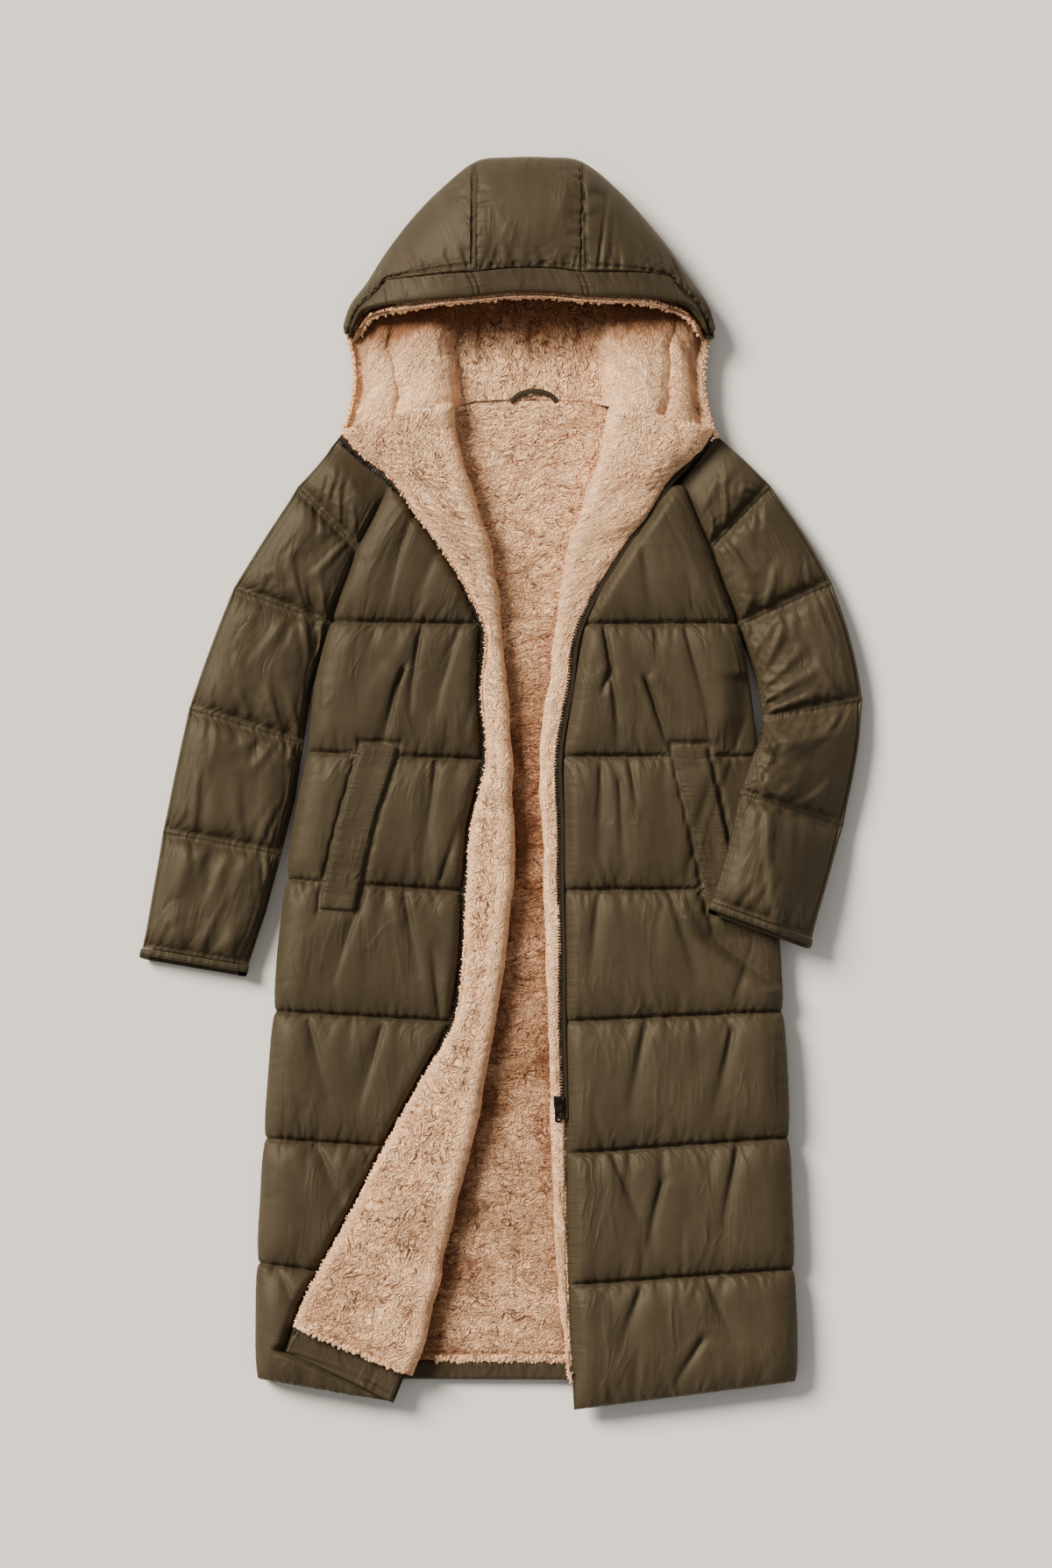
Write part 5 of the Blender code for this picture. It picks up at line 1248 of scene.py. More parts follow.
# Up to the sleeves its sides are the side seams of the fronts
BACK = [(*one[:3], *two[1:3]) for one, two in zip(FRONT_RIGHT[:13], FRONT_LEFT[:13])] + [
    (6.25, -169, 247, 243, 244),
    (6.50, -136, 312, 207, 311),
    (6.75, -105, 377, 176, 378),
    (7.00, -69, 438, 135, 438),
]
BACK_ROUND = 14.0
BACK_ROWS = 12
BACK_SPREAD = 30
LINING_ROWS = 76
BACK_LEAN = 1.9
BACK_PARTED = 0.8
# Painted shade darkens the pile in the valley beside the rolls of the fronts, and lower down
SHADE_REACH = 55.0
SHADE_DEPTH = 0.46
SHADE_MOST = 0.9
BACK_SHADE = 0.12
SHADE_FROM_Y = 300.0
# The lining is stitched down this far above its foot: tone and depth of the line
LINING_HEM = 9.5
HEM_LINE_TONE = 0.40
HEM_LINE_HALF = 1.5
HEM_LINE_DEPTH = 1.6
HEM_LINE_REACH = 2.6
SHOWN_LINING = (-78.0, 112.0)
SHOWN_LINING_COLUMNS = 96
SIDE_COLUMNS = 9
HEM_FACING_WIDTH = 22.0
HEM_FACING_THICK = 3.0
HEM_STEPS = np.array((0, 0.04, 0.12, 0.25, 0.4, 0.55, 0.7, 0.82, 0.9, 0.96, 1.0))
HEM_PUCKERS = ((9, 24), (8, 20), (2, 3.5), (0.5, 1.4))
HOOD_SEAM_GAP = 0.5
NECK_X = (-190.0, -168.0, -142.0, -114.0, -88.0, -62.0, -32.0, 10.0, 54.0, 96.0, 128.0,
          152.0, 178.0, 204.0, 229.0, 251.0)
NECK_Y = (408.0, 413.7, 420.4, 427.6, 434.3, 441.0, 448.0, 450.0, 450.0, 448.0, 441.0,
          434.8, 428.0, 421.2, 414.7, 409.0)


def back_sides(channel, inset=0.0):
    """Plan points of both sides of the back on every row, and its width there."""
    right, left = (plan_line(BACK, BACK_COLUMNS, which, channel, straight)
                   for which in ("right", "left"))
    right, left = right + inset, left - inset
    return right[:, None], left[:, None], (left - right)[:, :1]


channel = channel_rows(0.0, 7.0, BACK_ROWS)
right_side, left_side, width = back_sides(channel)
curl_steps = np.linspace(0, 1.05, 9)[None] ** 1.5 * BACK_ROUND / width
middle_steps = curl_steps[:, -1:] + (1 - 2 * curl_steps[:, -1:]) * np.linspace(
    0, 1, BACK_SPREAD)[None, 1:-1]
across = np.concatenate([curl_steps, middle_steps, 1 - curl_steps[:, ::-1]], 1)
plan = between(right_side, left_side, across)
plan[-1, :, 1] = np.interp(plan[-1, :, 0], NECK_X, NECK_Y) - HOOD_SEAM_GAP
near = np.minimum(across, 1 - across) * width
rising = np.clip((channel - RAGLAN_CHANNEL) / RAGLAN_RISE, 0, 1)[:, None]
skin = SIDE_SEAM_Z * (1 - rounded(near / BACK_ROUND)) * (1 - rising)
curl = (1 - np.clip(near / BACK_ROUND, 0, 1)) * (1 - rising)
inner_plan = plan.copy()
inner_plan[..., 0] += np.sign(0.5 - across) * SEAM_WALL * curl
upper = layer(inner_plan, BACK_SHELL + (SIDE_SEAM_Z - BACK_SHELL) * curl)
ring = np.concatenate([layer(plan, skin), upper[:, ::-1]], 1)
ring = np.concatenate([ring, ring[:, :1]], 1)
foot, head = ring[:1].copy(), ring[-1:].copy()
half = ring.shape[1] // 2
for closing in (foot, head):
    closing[..., 2] = BACK_SHELL / 2
    closing[:, :half] = (closing[:, :half] + closing[:, half:2 * half][:, ::-1]) / 2
    closing[:, half:2 * half] = closing[:, :half][:, ::-1]
    closing[:, -1] = closing[:, 0]
rows_of_ring = np.concatenate([channel[:1], channel, channel[-1:]])[:, None]
back_shell = shell_piece("back_shell", np.concatenate([foot, ring, head]), -1,
                         from_line(rows_of_ring) * CHANNEL_MM)
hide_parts("back_panel")

channel = np.linspace(0.0, 7.0, 7 * LINING_ROWS + 1)
inset = (BACK_EDGE_INSET - 20.0 * eased((channel - 6) * 1.5))[:, None] * np.array([1.0, 0.0])
right_side, left_side, width = back_sides(channel, inset)
right_x, left_x = right_side[:, 0, :1], left_side[:, 0, :1]
from_x = np.maximum(SHOWN_LINING[0], right_x + 3)
to_x = np.minimum(SHOWN_LINING[1], left_x - 3)
rest = np.linspace(0, 1, SIDE_COLUMNS)[None, :-1]
xs = np.concatenate([right_x + (from_x - right_x) * rest,
                     from_x + (to_x - from_x) * np.linspace(0, 1, SHOWN_LINING_COLUMNS)[None],
                     to_x + (left_x - to_x) * (1 - rest[:, ::-1])], 1)
plan = between(right_side, left_side, (xs - right_x) / width)
top_y = np.interp(plan[..., 0], NECK_X, NECK_Y) - HOOD_SEAM_GAP
bottom_y = plan[:1, :, 1] + HEM_FACING_WIDTH + GAP
plan[..., 1] = bottom_y + (plan[..., 1] - plan[:1, :, 1]) * (top_y[-1:] - bottom_y) / (
    plan[-1:, :, 1] - plan[:1, :, 1])
outer = layer(plan, BACK_LINING_Z + LINING - 0.6)
across_part = np.minimum((xs - from_x) / 6, (to_x - xs) / 6)
free = 0.12 + 0.88 * eased(across_part) * eased(np.minimum(channel / 0.03, 1))[:, None]
back_face, nap = pile(outer, 41, 1, BACK_LEAN, free)
back_face[..., 2] = np.maximum(back_face[..., 2], BACK_LINING_Z + 1.0)
roll_x, strip_x = (np.interp(plan[..., 1], *np.array(table)[:, [4, 3]].T)
                   for table in (FRONT_RIGHT, FRONT_LEFT))
# Painted shade beside the roll and the strip, stronger lower down
beside_roll = np.exp(-np.clip(plan[..., 0] - roll_x, 0, 400) / SHADE_REACH)
beside_strip = np.exp(-np.clip(strip_x - plan[..., 0], 0, 400) / (SHADE_REACH * 0.4))
low_down = eased((SHADE_FROM_Y - plan[..., 1]) / SHADE_FROM_Y)
shade = np.minimum(beside_roll + 0.5 * beside_strip, SHADE_MOST) * (0.35 + 0.65 * low_down)
nap = nap - SHADE_DEPTH * shade - BACK_SHADE * low_down
from_hem = plan[..., 1] - bottom_y - LINING_HEM
sewn = np.exp(-(from_hem / HEM_LINE_HALF) ** 2) * (0.72 + 0.28 * np.sin(plan[..., 0] / 1.9))
nap = nap - HEM_LINE_TONE * sewn
back_face[..., 2] -= HEM_LINE_DEPTH * np.exp(-(from_hem / HEM_LINE_REACH) ** 2)
back_fleece = fleece_piece("back_fleece", back_face, layer(plan, BACK_LINING_Z), 1,
                           fleece_across, nap, np.full(plan.shape[:2], BACK_PARTED))
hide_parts("back_lining")

# Turned-up hem strip of the shell between the hem and the lining, puckered as it is sewn
right_side, left_side, width = back_sides(np.array([0.0]), np.array([BACK_EDGE_INSET, 0.0]))
hem_line = between(right_side, left_side, np.linspace(0, 1, 260)[None])[0]
start, stop = (hem_line + np.array([0.0, by]) for by in (GAP, HEM_FACING_WIDTH))
plan = start[None] + (stop - start)[None] * HEM_STEPS[:, None, None]
draw = np.random.default_rng(61)
along = np.linalg.norm(np.diff(start, axis=0), axis=-1).cumsum()
along = np.concatenate([[0], along])[None] + plan[..., 0] * 0
up = HEM_STEPS[:, None] * HEM_FACING_WIDTH + along * 0
swell = HEM_FACING_THICK * rounded(np.minimum(HEM_STEPS, 1 - HEM_STEPS) / 0.12)[:, None]
marks = puckers(draw, [(HEM_FACING_WIDTH, False, True), (0, True, False)], along.max(),
                *HEM_PUCKERS)
top = layer(plan, BACK_LINING_Z + swell + creased(along, up, marks) * (swell > 1))
top[..., 2] = np.clip(top[..., 2], BACK_LINING_Z + 0.3, BACK_LINING_Z + HEM_FACING_THICK + 1.5)
hem_piece = shell_piece("back_hem_facing", wrapped(top, layer(plan, BACK_LINING_Z), 1), 1,
                        edged(np.abs(up - HEM_FACING_WIDTH + 3.0)))
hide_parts("hem_facing_back")


# ---------------------------------------------------------------- hood
# Three padded panels and a band round the face, sewn to the neck, lying with its crown
# toward the top; the fleece lining shows inside and as a curly fringe under the band.
HOOD_COLUMNS = ("station", "brim_x", "brim_y", "rim_x", "rim_y", "bow", "shell",
                "neck_x", "neck_y")
HOOD = [(*row, x, y) for row, x, y in zip((
    (0, -182, 521, -185, 534, 13, 3),
    (1, -169, 551, -176, 560, 10, 8),
    (2, -152, 559, -157, 586, 5, 10),
    (3, -130, 562, -133, 624, 0, 10),
    (4, -102, 564, -103, 664, 0, 10),
    (5, -68, 567, -70, 699, 0, 10),
    (6, -32, 569, -31, 730, 0, 10),
    (7, 10, 573, 10, 735, 0, 10),
    (8, 54, 573, 52, 735, 0, 10),
    (9, 96, 569, 93, 730, 0, 10),
    (10, 131, 569, 134, 697, 0, 10),
    (11, 165, 569, 166, 661, 0, 10),
    (12, 193, 566, 195, 624, 0, 10),
    (13, 215, 562, 220, 587, -5, 10),
    (14, 232, 550, 238, 560, -10, 8),
    (15, 245, 520, 247, 534, -12, 3),
), NECK_X, NECK_Y)]
# Where the sides of the lining bulge forward beside the neck, and how high
ARCH_COLUMNS = ("station", "arch")
ARCH = (
    (0.0, 0), (0.7, 12), (1.5, 23), (2.2, 28), (2.55, 27), (2.72, 23), (2.90, 27), (3.3, 34),
    (3.8, 36), (4.3, 34), (4.65, 30), (4.95, 23), (5.15, 14), (5.27, 5), (5.36, 0), (9.55, 0),
    (9.64, 5), (9.77, 14), (9.98, 23), (10.30, 30), (10.8, 35), (11.5, 36), (12.1, 34),
    (12.38, 29), (12.55, 24), (12.72, 27), (13.1, 27), (13.6, 22), (14.3, 11), (15.0, 0),
)
# The inner edges of the bulges waver this far, in stations, over these lengths up the hood
ARCH_WAVER = ((0.085, 13.0, 0.4), (0.050, 6.3, 1.9))
HOOD_SEAMS = (6.0, 9.0)
HOOD_ENDS = (0.0, 15.0)
CENTRE_WIDTH = 40.0
OUTLINE_BLUR = 6.0
OUTLINE_SAMPLES = 91
NECK_SAMPLES = 13
HOOD_EDGE_Z = 20.0
HOOD_RISE = 74.0
HOOD_DOME = 112.0
HOOD_FLOOR_ROUND = 20.0
HOOD_LINING = 5.0
HOOD_GAP = 0.5
BRIM_WIDTH = 28.0
BRIM_THICK = 8.0
BRIM_SHOW = 6.0
BRIM_SEAM = 0.8
SEAM_BESIDE = 3.2
ARCH_END = (512.0, 590.0)
# Seams that cross the band: station, distance of the stitching beside it, depth of the dip
BAND_SEAMS = ((6.0, SEAM_BESIDE, 1.3), (9.0, SEAM_BESIDE, 1.3), (2.75, 0.0, 0.8),
              (12.4, 0.0, 0.8))
BAND_PUCKERS = ((7, 22), (10, 26), (2, 4), (0.5, 1.6))
BAND_ROUND = 2.6
ROOF_ROWS = 46
FLOOR_ROWS = 14
PANEL_ROUND = 9.0
PANEL_SINK = 0.9
PANEL_SWELL = 1.6
PANEL_PUCKERS = ((8, 22), (14, 60), (2.6, 6), (1.2, 2.8))
SIDE_PUCKERS = ((10, 26), (10, 40), (2.6, 5), (0.9, 2.2))
STITCH_SINK = 2.6
SEAM_DENSE = 0.085
# From where to where up the hood painted shade darkens the pile inside under the brim, and by how
# much
HOOD_SHADE = (458.0, 566.0, 0.78)
SIDE_TURN = 8.5
# Seams of the lining inside the back of the hood, how deep they draw the pile in and how dark the
# painted shade in them is
LINING_SEAMS = (-27.0, 33.0, 90.0)
LINING_SEAM_DEPTH = 2.4
LINING_SEAM_HALF = 2.2
LINING_SEAM_SHADE = 0.16
LINING_SEAM_FROM = 449.0
LINING_ROOF_ROWS = 26
LINING_FLOOR_ROWS = 84
LINING_STATIONS = 236


def hood_plan(which, station):
    """Plan points of one named line of the hood."""
    return plan_line(HOOD, HOOD_COLUMNS, which, station)


def hood_floor(station, down):
    """Plan points of the layer on the surface, from the outline down to the neck."""
    plan = between(hood_plan("rim", station)[None], hood_plan("neck", station)[None],
                   down[:, None])
    plan[..., 0] += read(HOOD, HOOD_COLUMNS, "bow", station)[None] * np.sin(np.pi * down)[:, None]
    return plan


def hood_outline():
    """Outline of the flattened hood, from neck to neck round the crown."""
    crown = hood_plan("rim", np.linspace(*HOOD_ENDS, OUTLINE_SAMPLES))
    down = np.linspace(0, 1, NECK_SAMPLES)
    first, last = (hood_floor(np.array([end]), down)[:, 0] for end in HOOD_ENDS)
    return np.concatenate([first[::-1][:-1], crown, last[1:]])


def inside(plan, outline):
    """Distance of plan points from the outline, and the way inward: the sum of the sides'
    normals, each by 1 / (distance + blur)^3."""
    first = outline[:-1]
    step = outline[1:] - first
    offset = plan[..., None, :] - first
    part = np.clip((offset * step).sum(-1) / (step ** 2).sum(-1), 0, 1)
    distance = np.linalg.norm(offset - step * part[..., None], axis=-1)
    normal = np.stack([step[:, 1], -step[:, 0]], -1)
    pull = 1 / (distance + OUTLINE_BLUR) ** 3
    return distance.min(-1), unit((pull[..., None] * normal).sum(-2))


def hood_skin(plan, station, outline, depth, roof):
    """Points of a hood layer a given depth in from the outside of the shell."""
    reach, inward = inside(plan, outline)
    size = HOOD_DOME if roof else HOOD_FLOOR_ROUND
    rise = HOOD_RISE if roof else HOOD_EDGE_Z
    curve = 1 - np.clip(reach / size, 0, 1)
    level = np.sqrt(1 - curve ** 2)
    lean = rise / size * curve
    length = np.maximum(np.hypot(lean, level), 1e-9)
    beside_seam = np.abs(station[:, None] - np.array(HOOD_SEAMS)).min(axis=1)
    inward = unit(inward * np.stack([np.clip(beside_seam * 2, 0, 1), beside_seam * 0 + 1], -1))
    spot = plan + inward * (depth * lean / length)[..., None]
    drop = depth * level / length
    if roof:
        return layer(spot, HOOD_EDGE_Z + rise * level - drop)
    waver = sum(size * np.sin(plan[..., 1] / run + start) for size, run, start in ARCH_WAVER)
    arch = straight(ARCH, ARCH_COLUMNS, "arch", station[None] + waver)
    fade = 1 - eased((plan[..., 1] - ARCH_END[0]) / (ARCH_END[1] - ARCH_END[0]))
    return layer(spot, HOOD_EDGE_Z - rise * level + drop + arch * fade)


def hood_band(station):
    """Points of the brim and the outline, the length between them and the band's part of it."""
    brim, rim = hood_plan("brim", station), hood_plan("rim", station)
    length = np.linalg.norm(rim - brim, axis=-1)
    return brim[None], rim[None], length, np.minimum(BRIM_WIDTH, length / 2) / length


def hood_grid(station, outline, depth, from_brim, roof_parts, floor_parts, show=0.0):
    """Hood layer from the brim over the crown and down to the neck."""
    brim, rim, length, band = hood_band(station)
    start = (band * from_brim - show / length)[None]
    plan = between(brim, rim, start + (1 - start) * roof_parts[:, None])
    both = np.concatenate([
        hood_skin(plan, station, outline, depth, True),
        hood_skin(hood_floor(station, floor_parts), station, outline, depth, False)])
    both[-1, :, 1] = np.interp(both[-1, :, 0], NECK_X, NECK_Y)
    return both


def from_sides(across, wide, first, last, far):
    """Distances from both side seams of a hood panel, far where the hood ends instead."""
    return (across if first > HOOD_ENDS[0] else across + far,
            wide - across if last < HOOD_ENDS[1] else across + far)


def crosswise(marks):
    """Marks with their two directions swapped."""
    return [(b, a, d, c, width, depth) for a, b, c, d, width, depth in marks]


outline = hood_outline()
crown_parts = (np.linspace(0, 1, ROOF_ROWS) ** 0.9)[:-1]
floor_parts = np.linspace(0, 1, FLOOR_ROWS) ** 1.6
seam = HOOD_SEAM_GAP / 2 / CENTRE_WIDTH
for name, node, first, last, count, seed in (
        ("right_hood_side", "hood_side_right", 0.0, HOOD_SEAMS[0] - seam, 70, 71),
        ("middle_hood", "hood_centre", HOOD_SEAMS[0] - seam, HOOD_SEAMS[1] + seam, 52, 72),
        ("left_hood_side", "hood_side_left", HOOD_SEAMS[1] + seam, 15.0, 70, 73)):
    station = first + (last - first) * crowded(count, SEAM_DENSE)
    depth = read(HOOD, HOOD_COLUMNS, "shell", station)[None]
    outer, inner = (hood_grid(station, outline, deep, 1.0, crown_parts, floor_parts)
                    for deep in (depth * 0, depth))
    across, up = np.moveaxis(cloth_map(outer), -1, 0)
    wide = across[:, -1:] - across * 0
    rim_near = np.minimum(np.minimum(*from_sides(across, wide, first, last, 99.0)), up)
    fade = eased((len(crown_parts) - np.arange(len(up))) / 9)[:, None]
    sink = (PANEL_SINK * (1 - rounded(rim_near / PANEL_ROUND))
            + STITCH_SINK * np.exp(-(rim_near - SEAM_BESIDE) ** 2)) * fade
    draw = np.random.default_rng(seed)
    marks = puckers(draw, [(0, True, False)], wide.max(), *PANEL_PUCKERS)
    side_marks = crosswise(puckers(
        draw, [(0, first > 0, False), (wide[20, 0], False, last < 15)],
        up[len(crown_parts)].max(), *SIDE_PUCKERS))
    soft = fade * np.clip(rim_near / 4, 0, 1)
    outer = pushed(outer, -sink)
    outer = pushed(outer, (creased(across, up, marks) + creased(across, up, side_marks)
                           + PANEL_SWELL * cloud(draw, across, up, 55, 45)) * soft)
    held = (fade[:, 0] < 0.05)[:, None] | (rim_near < 0.5)
    near_seam = np.exp(-rim_near / 22)
    outer = settled(outer, held, (0.015 + 0.03 * near_seam) * soft,
                    (0.010 + 0.02 * near_seam) * soft, 1)
    outer[..., 2] = np.maximum(outer[..., 2], 0)
    sides = from_sides(across, wide, first, last, NO_SEAM)
    fine_across, fine_up, nearest, fine_soft, one, two = np.moveaxis(refined(np.stack(
        [across, up, np.minimum(*sides), soft, *sides], -1)), -1, 0)
    from_band = np.maximum(fine_up, 0)
    shape = (gathers(draw, fine_across, 0, from_band, *SHORT_GATHERS)
             + gathers(draw, fine_across, 0, from_band, *LONG_GATHERS)
             + gathers(draw, fine_up, fine_across > wide.mean() / 2,
                       np.maximum(nearest - SEAM_BESIDE, 0), *EDGE_GATHERS))
    fine = pushed(refined(outer), shape * np.clip(fine_soft, 0, 1))
    fine[..., 2] = np.maximum(fine[..., 2], 0)
    panel = shell_piece(name, wrapped(fine, refined(inner)), 1, edged(fine_up),
                        edged(np.abs(np.minimum(one, two) - SEAM_BESIDE)))
    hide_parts(node)

station = np.linspace(*HOOD_ENDS, 250)
brim, rim, length, band = hood_band(station)
plan = between(brim, rim, np.linspace(0, 1, 15)[:, None] * (band - BRIM_SEAM / length)[None])
depth = np.minimum(read(HOOD, HOOD_COLUMNS, "shell", station), BRIM_THICK)[None]
outer, inner = (hood_skin(plan, station, outline, deep, True) for deep in (depth * 0, depth))
across, up = np.moveaxis(cloth_map(outer), -1, 0)
wide = band[None] * length[None] + up * 0
rim_near = np.minimum(up, wide - up)
marks = puckers(np.random.default_rng(79), [(BRIM_WIDTH - 1, False, True)], across.max(),
                *BAND_PUCKERS)
shape = (-BAND_ROUND * (1 - rounded(np.clip(rim_near / 7, 0, 1)))
         + creased(across, up, marks) * np.clip(rim_near / 3, 0, 1))
fine = refined(pushed(outer, shape))
lines = refined(across)
crossing = np.full(lines.shape, 99.0)
for at, beside, sunk in BAND_SEAMS:
    away = np.abs(np.abs(lines - np.interp(at, station, across[7])) - beside)
    fine = pushed(fine, -sunk * (np.exp(-(away / 1.2) ** 2) + 0.35 * np.exp(-(away / 6) ** 2)))
    crossing = np.minimum(crossing, away)
band_piece = shell_piece("hood_band", wrapped(fine, refined(inner), 1), 1,
                         np.abs(edged(refined(wide - up)) - 3.0), edged(crossing))
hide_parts("hood_brim")

station = np.linspace(*HOOD_ENDS, LINING_STATIONS)
depth = read(HOOD, HOOD_COLUMNS, "shell", station)[None] + HOOD_GAP
roof_parts = (np.linspace(0, 1, LINING_ROOF_ROWS) ** 1.5)[:-1]
floor_parts = np.linspace(0, 1, LINING_FLOOR_ROWS) ** 0.75
outer, inner = (hood_grid(station, outline, deep, 0.0, roof_parts, floor_parts, BRIM_SHOW)
                for deep in (depth, depth + HOOD_LINING))
roof_row = len(roof_parts)
to_end = np.minimum(station, 15 - station)[None]
inner[roof_row:, :, 0] += np.sign(station - 7.5)[None] * SIDE_TURN * np.exp(-(to_end / 0.5) ** 2)
inner[roof_row:, :, 2] = np.maximum(inner[roof_row:, :, 2], 27 * np.exp(-(to_end / 0.9) ** 2))
seen = np.ones(inner.shape[:2])
seen[4:roof_row + 8] = 0.2
raised, nap = pile(inner, 83, -1, 1.0, seen)
# Painted shade: the pile is drawn in and coloured darker along the grooves of the lining's seams
seam_x = inner[..., 0, None] + 1.6 * np.sin(inner[..., 1, None] / 9) - np.array(LINING_SEAMS)
drawn = (np.exp(-(np.abs(seam_x).min(axis=-1) / LINING_SEAM_HALF) ** 2)
         * (inner[..., 1] > LINING_SEAM_FROM) * seen)
drawn[:roof_row] = 0
raised[..., 2] = np.maximum(raised[..., 2] - LINING_SEAM_DEPTH * drawn, 9.0)
# Painted shade: the pile inside darkens towards the brim
under_brim = eased((inner[..., 1] - HOOD_SHADE[0]) / (HOOD_SHADE[1] - HOOD_SHADE[0]))
nap = nap - LINING_SEAM_SHADE * drawn - HOOD_SHADE[2] * under_brim ** 1.3 * (inner[..., 2] < 60)
hood_fleece = fleece_piece("hood_fleece", raised, outer, -1, fleece_cloth, nap,
                           0.9 - 0.6 * eased((inner[..., 2] - 14) / 18))
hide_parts("hood_lining")


# ---------------------------------------------------------------- curls of the fleece
# Where the pile is cut it stands out in small curly locks: under the hood's band and at
# its sides, along the zip on both fronts and round the foot of the fleece.
LOCK_PITCH = 2.3
LOCK_RINGS = ((0.0, 1.0), (0.6, 1.0), (1.0, 0.5))
LOCK_TURN = 1.1
LOCK_BEND = 0.55
AROUND = ((1, 0), (0, 1), (-1, 0), (0, -1))
# The pile shows past the end of the left tape, over this many channels above the hem
FOOT_CURLS = 2.22


def resampled(path, pitch):
    """Points at equal steps along a line, with the direction of the line at each."""
    run = np.concatenate([[0], np.linalg.norm(np.diff(path, axis=0), axis=-1).cumsum()])
    at = np.arange(pitch / 2, run[-1], pitch)
    spots = np.stack([np.interp(at, run, path[:, axis]) for axis in range(3)], -1)
    return spots, unit(np.stack([np.gradient(spots[:, axis]) for axis in range(3)], -1))


def tube_faces(corners, rings):
    """Four-cornered faces along a small tube of rings."""
    ring = np.arange(corners)
    after = (ring + 1) % corners
    side = np.stack([ring, after, after + corners, ring + corners], -1)
    return np.concatenate([side + corners * step for step in range(rings - 1)])


def repeated(faces, count, points):
    """The faces of one small part, again for every one of its copies."""
    return (faces[None] + points * np.arange(count)[:, None, None]).reshape(-1, 4)


def locks(name, path, inner_path, length, seed, rows=2, lift=0.0, thick=1.25):
    """Bent four-sided curls along an edge, pointing away from a line inside it:
    p(t) = start + way l t + side b l t^2, each drawn a little differently."""
    draw = np.random.default_rng(seed)
    spots, ways = resampled(path, LOCK_PITCH)
    within = np.stack([np.interp(np.linspace(0, 1, len(spots)), np.linspace(0, 1, len(path)),
                                 inner_path[:, axis]) for axis in range(3)], -1)
    out = spots - within
    out[:, 2] = 0
    out = unit(out)
    start = np.concatenate([
        spots + draw.uniform(-0.5, 0.5, (len(spots), 1)) * LOCK_PITCH * ways
        - out * (1.5 + 2.0 * row) + [0, 0, lift + 0.6 * row] for row in range(rows)])
    out = np.concatenate([out] * rows)
    count = len(start)
    turn = draw.uniform(-LOCK_TURN, LOCK_TURN, count)
    cos, sin = np.cos(turn), np.sin(turn)
    way = np.stack([out[:, 0] * cos - out[:, 1] * sin, out[:, 0] * sin + out[:, 1] * cos,
                    draw.uniform(-0.45, 0.15, count)], -1)
    side = np.stack([-way[:, 1], way[:, 0], way[:, 2] * 0], -1)
    up = np.array([0, 0, 1.0])
    long = (length * draw.uniform(0.35, 1.15, count))[:, None]
    bend = draw.uniform(-LOCK_BEND, LOCK_BEND, count)[:, None]
    wide = thick * draw.uniform(0.7, 1.25, count)[:, None]
    points = np.stack([
        start + way * long * part + side * bend * long * part ** 2
        + (side * a + up * b) * wide * size for part, size in LOCK_RINGS for a, b in AROUND], 1)
    points[..., 2] = np.maximum(points[..., 2], 0.2)
    one = np.concatenate([tube_faces(4, 3), [[8, 9, 10, 11]]])
    # Painted shade: each lock is darker at its root and lighter at its tip, with a random tone
    # each
    nap = 0.44 + 0.16 * np.repeat([part for part, _ in LOCK_RINGS], 4)[None]
    nap = nap + draw.uniform(-0.12, 0.10, (count, 1))
    made = mesh_piece(name, points, repeated(one, count, 12), fleece_cloth, points[..., :2],
                      nap, parted=nap * 0)
    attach(made, "coat")


right_face, left_face = right_fleece["face"], left_fleece["face"]
low = round(FOOT_CURLS * FLEECE_ROWS)
side_rows = slice(roof_row + 6, None)
for name, path, within, long, seed, *sizes in (
        ("brim_curls", raised[0, 4:-4], raised[0, 4:-4] + [0, 30.0, 0], 5.0, 201, 3, 0.0, 2.1),
        ("right_hood_curls", raised[side_rows, 0], raised[side_rows, 8], 4.5, 202),
        ("left_hood_curls", raised[side_rows, -1], raised[side_rows, -9], 4.5, 203),
        ("right_edge_curls", right_face[:, -1], right_face[:, -8], 3.6, 204, 2, 1.0),
        ("left_edge_curls", left_face[:low, -1], left_face[:low, -8], 3.8, 205, 2, 0.5),
        ("right_foot_curls", right_face[0, 14:], right_face[6, 14:], 5.5, 206, 2, 0.0, 2.2),
        ("left_foot_curls", left_face[0, 10:], left_face[6, 10:], 4.0, 207, 2, 0.0, 1.8),
        ("back_foot_curls", back_face[0, 8:-8], back_face[6, 8:-8], 5.5, 208, 3, 0.0, 2.2)):
    locks(name, path, within, long, seed, *sizes)


# ---------------------------------------------------------------- zip
# A metal-toothed open-end zip: woven tapes sewn between shell and fleece, blackened teeth
# crimped on their edges, a slider left at the foot of the left tape with its pull hanging.
TAPE_THICK = 1.0
TAPE_RIGHT = {"from": 2.30, "to": 8.0, "teeth_side": 4.4, "sewn_side": -4.6, "above": -6.3}
TAPE_LEFT = {"from": 2.26, "to": 7.92, "teeth_side": -2.6, "sewn_side": 3.8, "above": 3.2}
TAPE_CLEAR = 0.5
TAPE_DIP = 0.25
TOOTH_PITCH = 3.5
TOOTH_OUTLINE = ((-1.4, 0.8), (1.0, 0.75), (1.7, 1.3), (3.0, 0.9))
TOOTH_HALF_HEIGHT = 1.2
TAPE_COLUMNS = 7
STOP_CHANNELS = np.array((7.90, 7.94))
STOP_UP = 5.0
STOP_SIZE = (1.9, 1.6, 1.5)


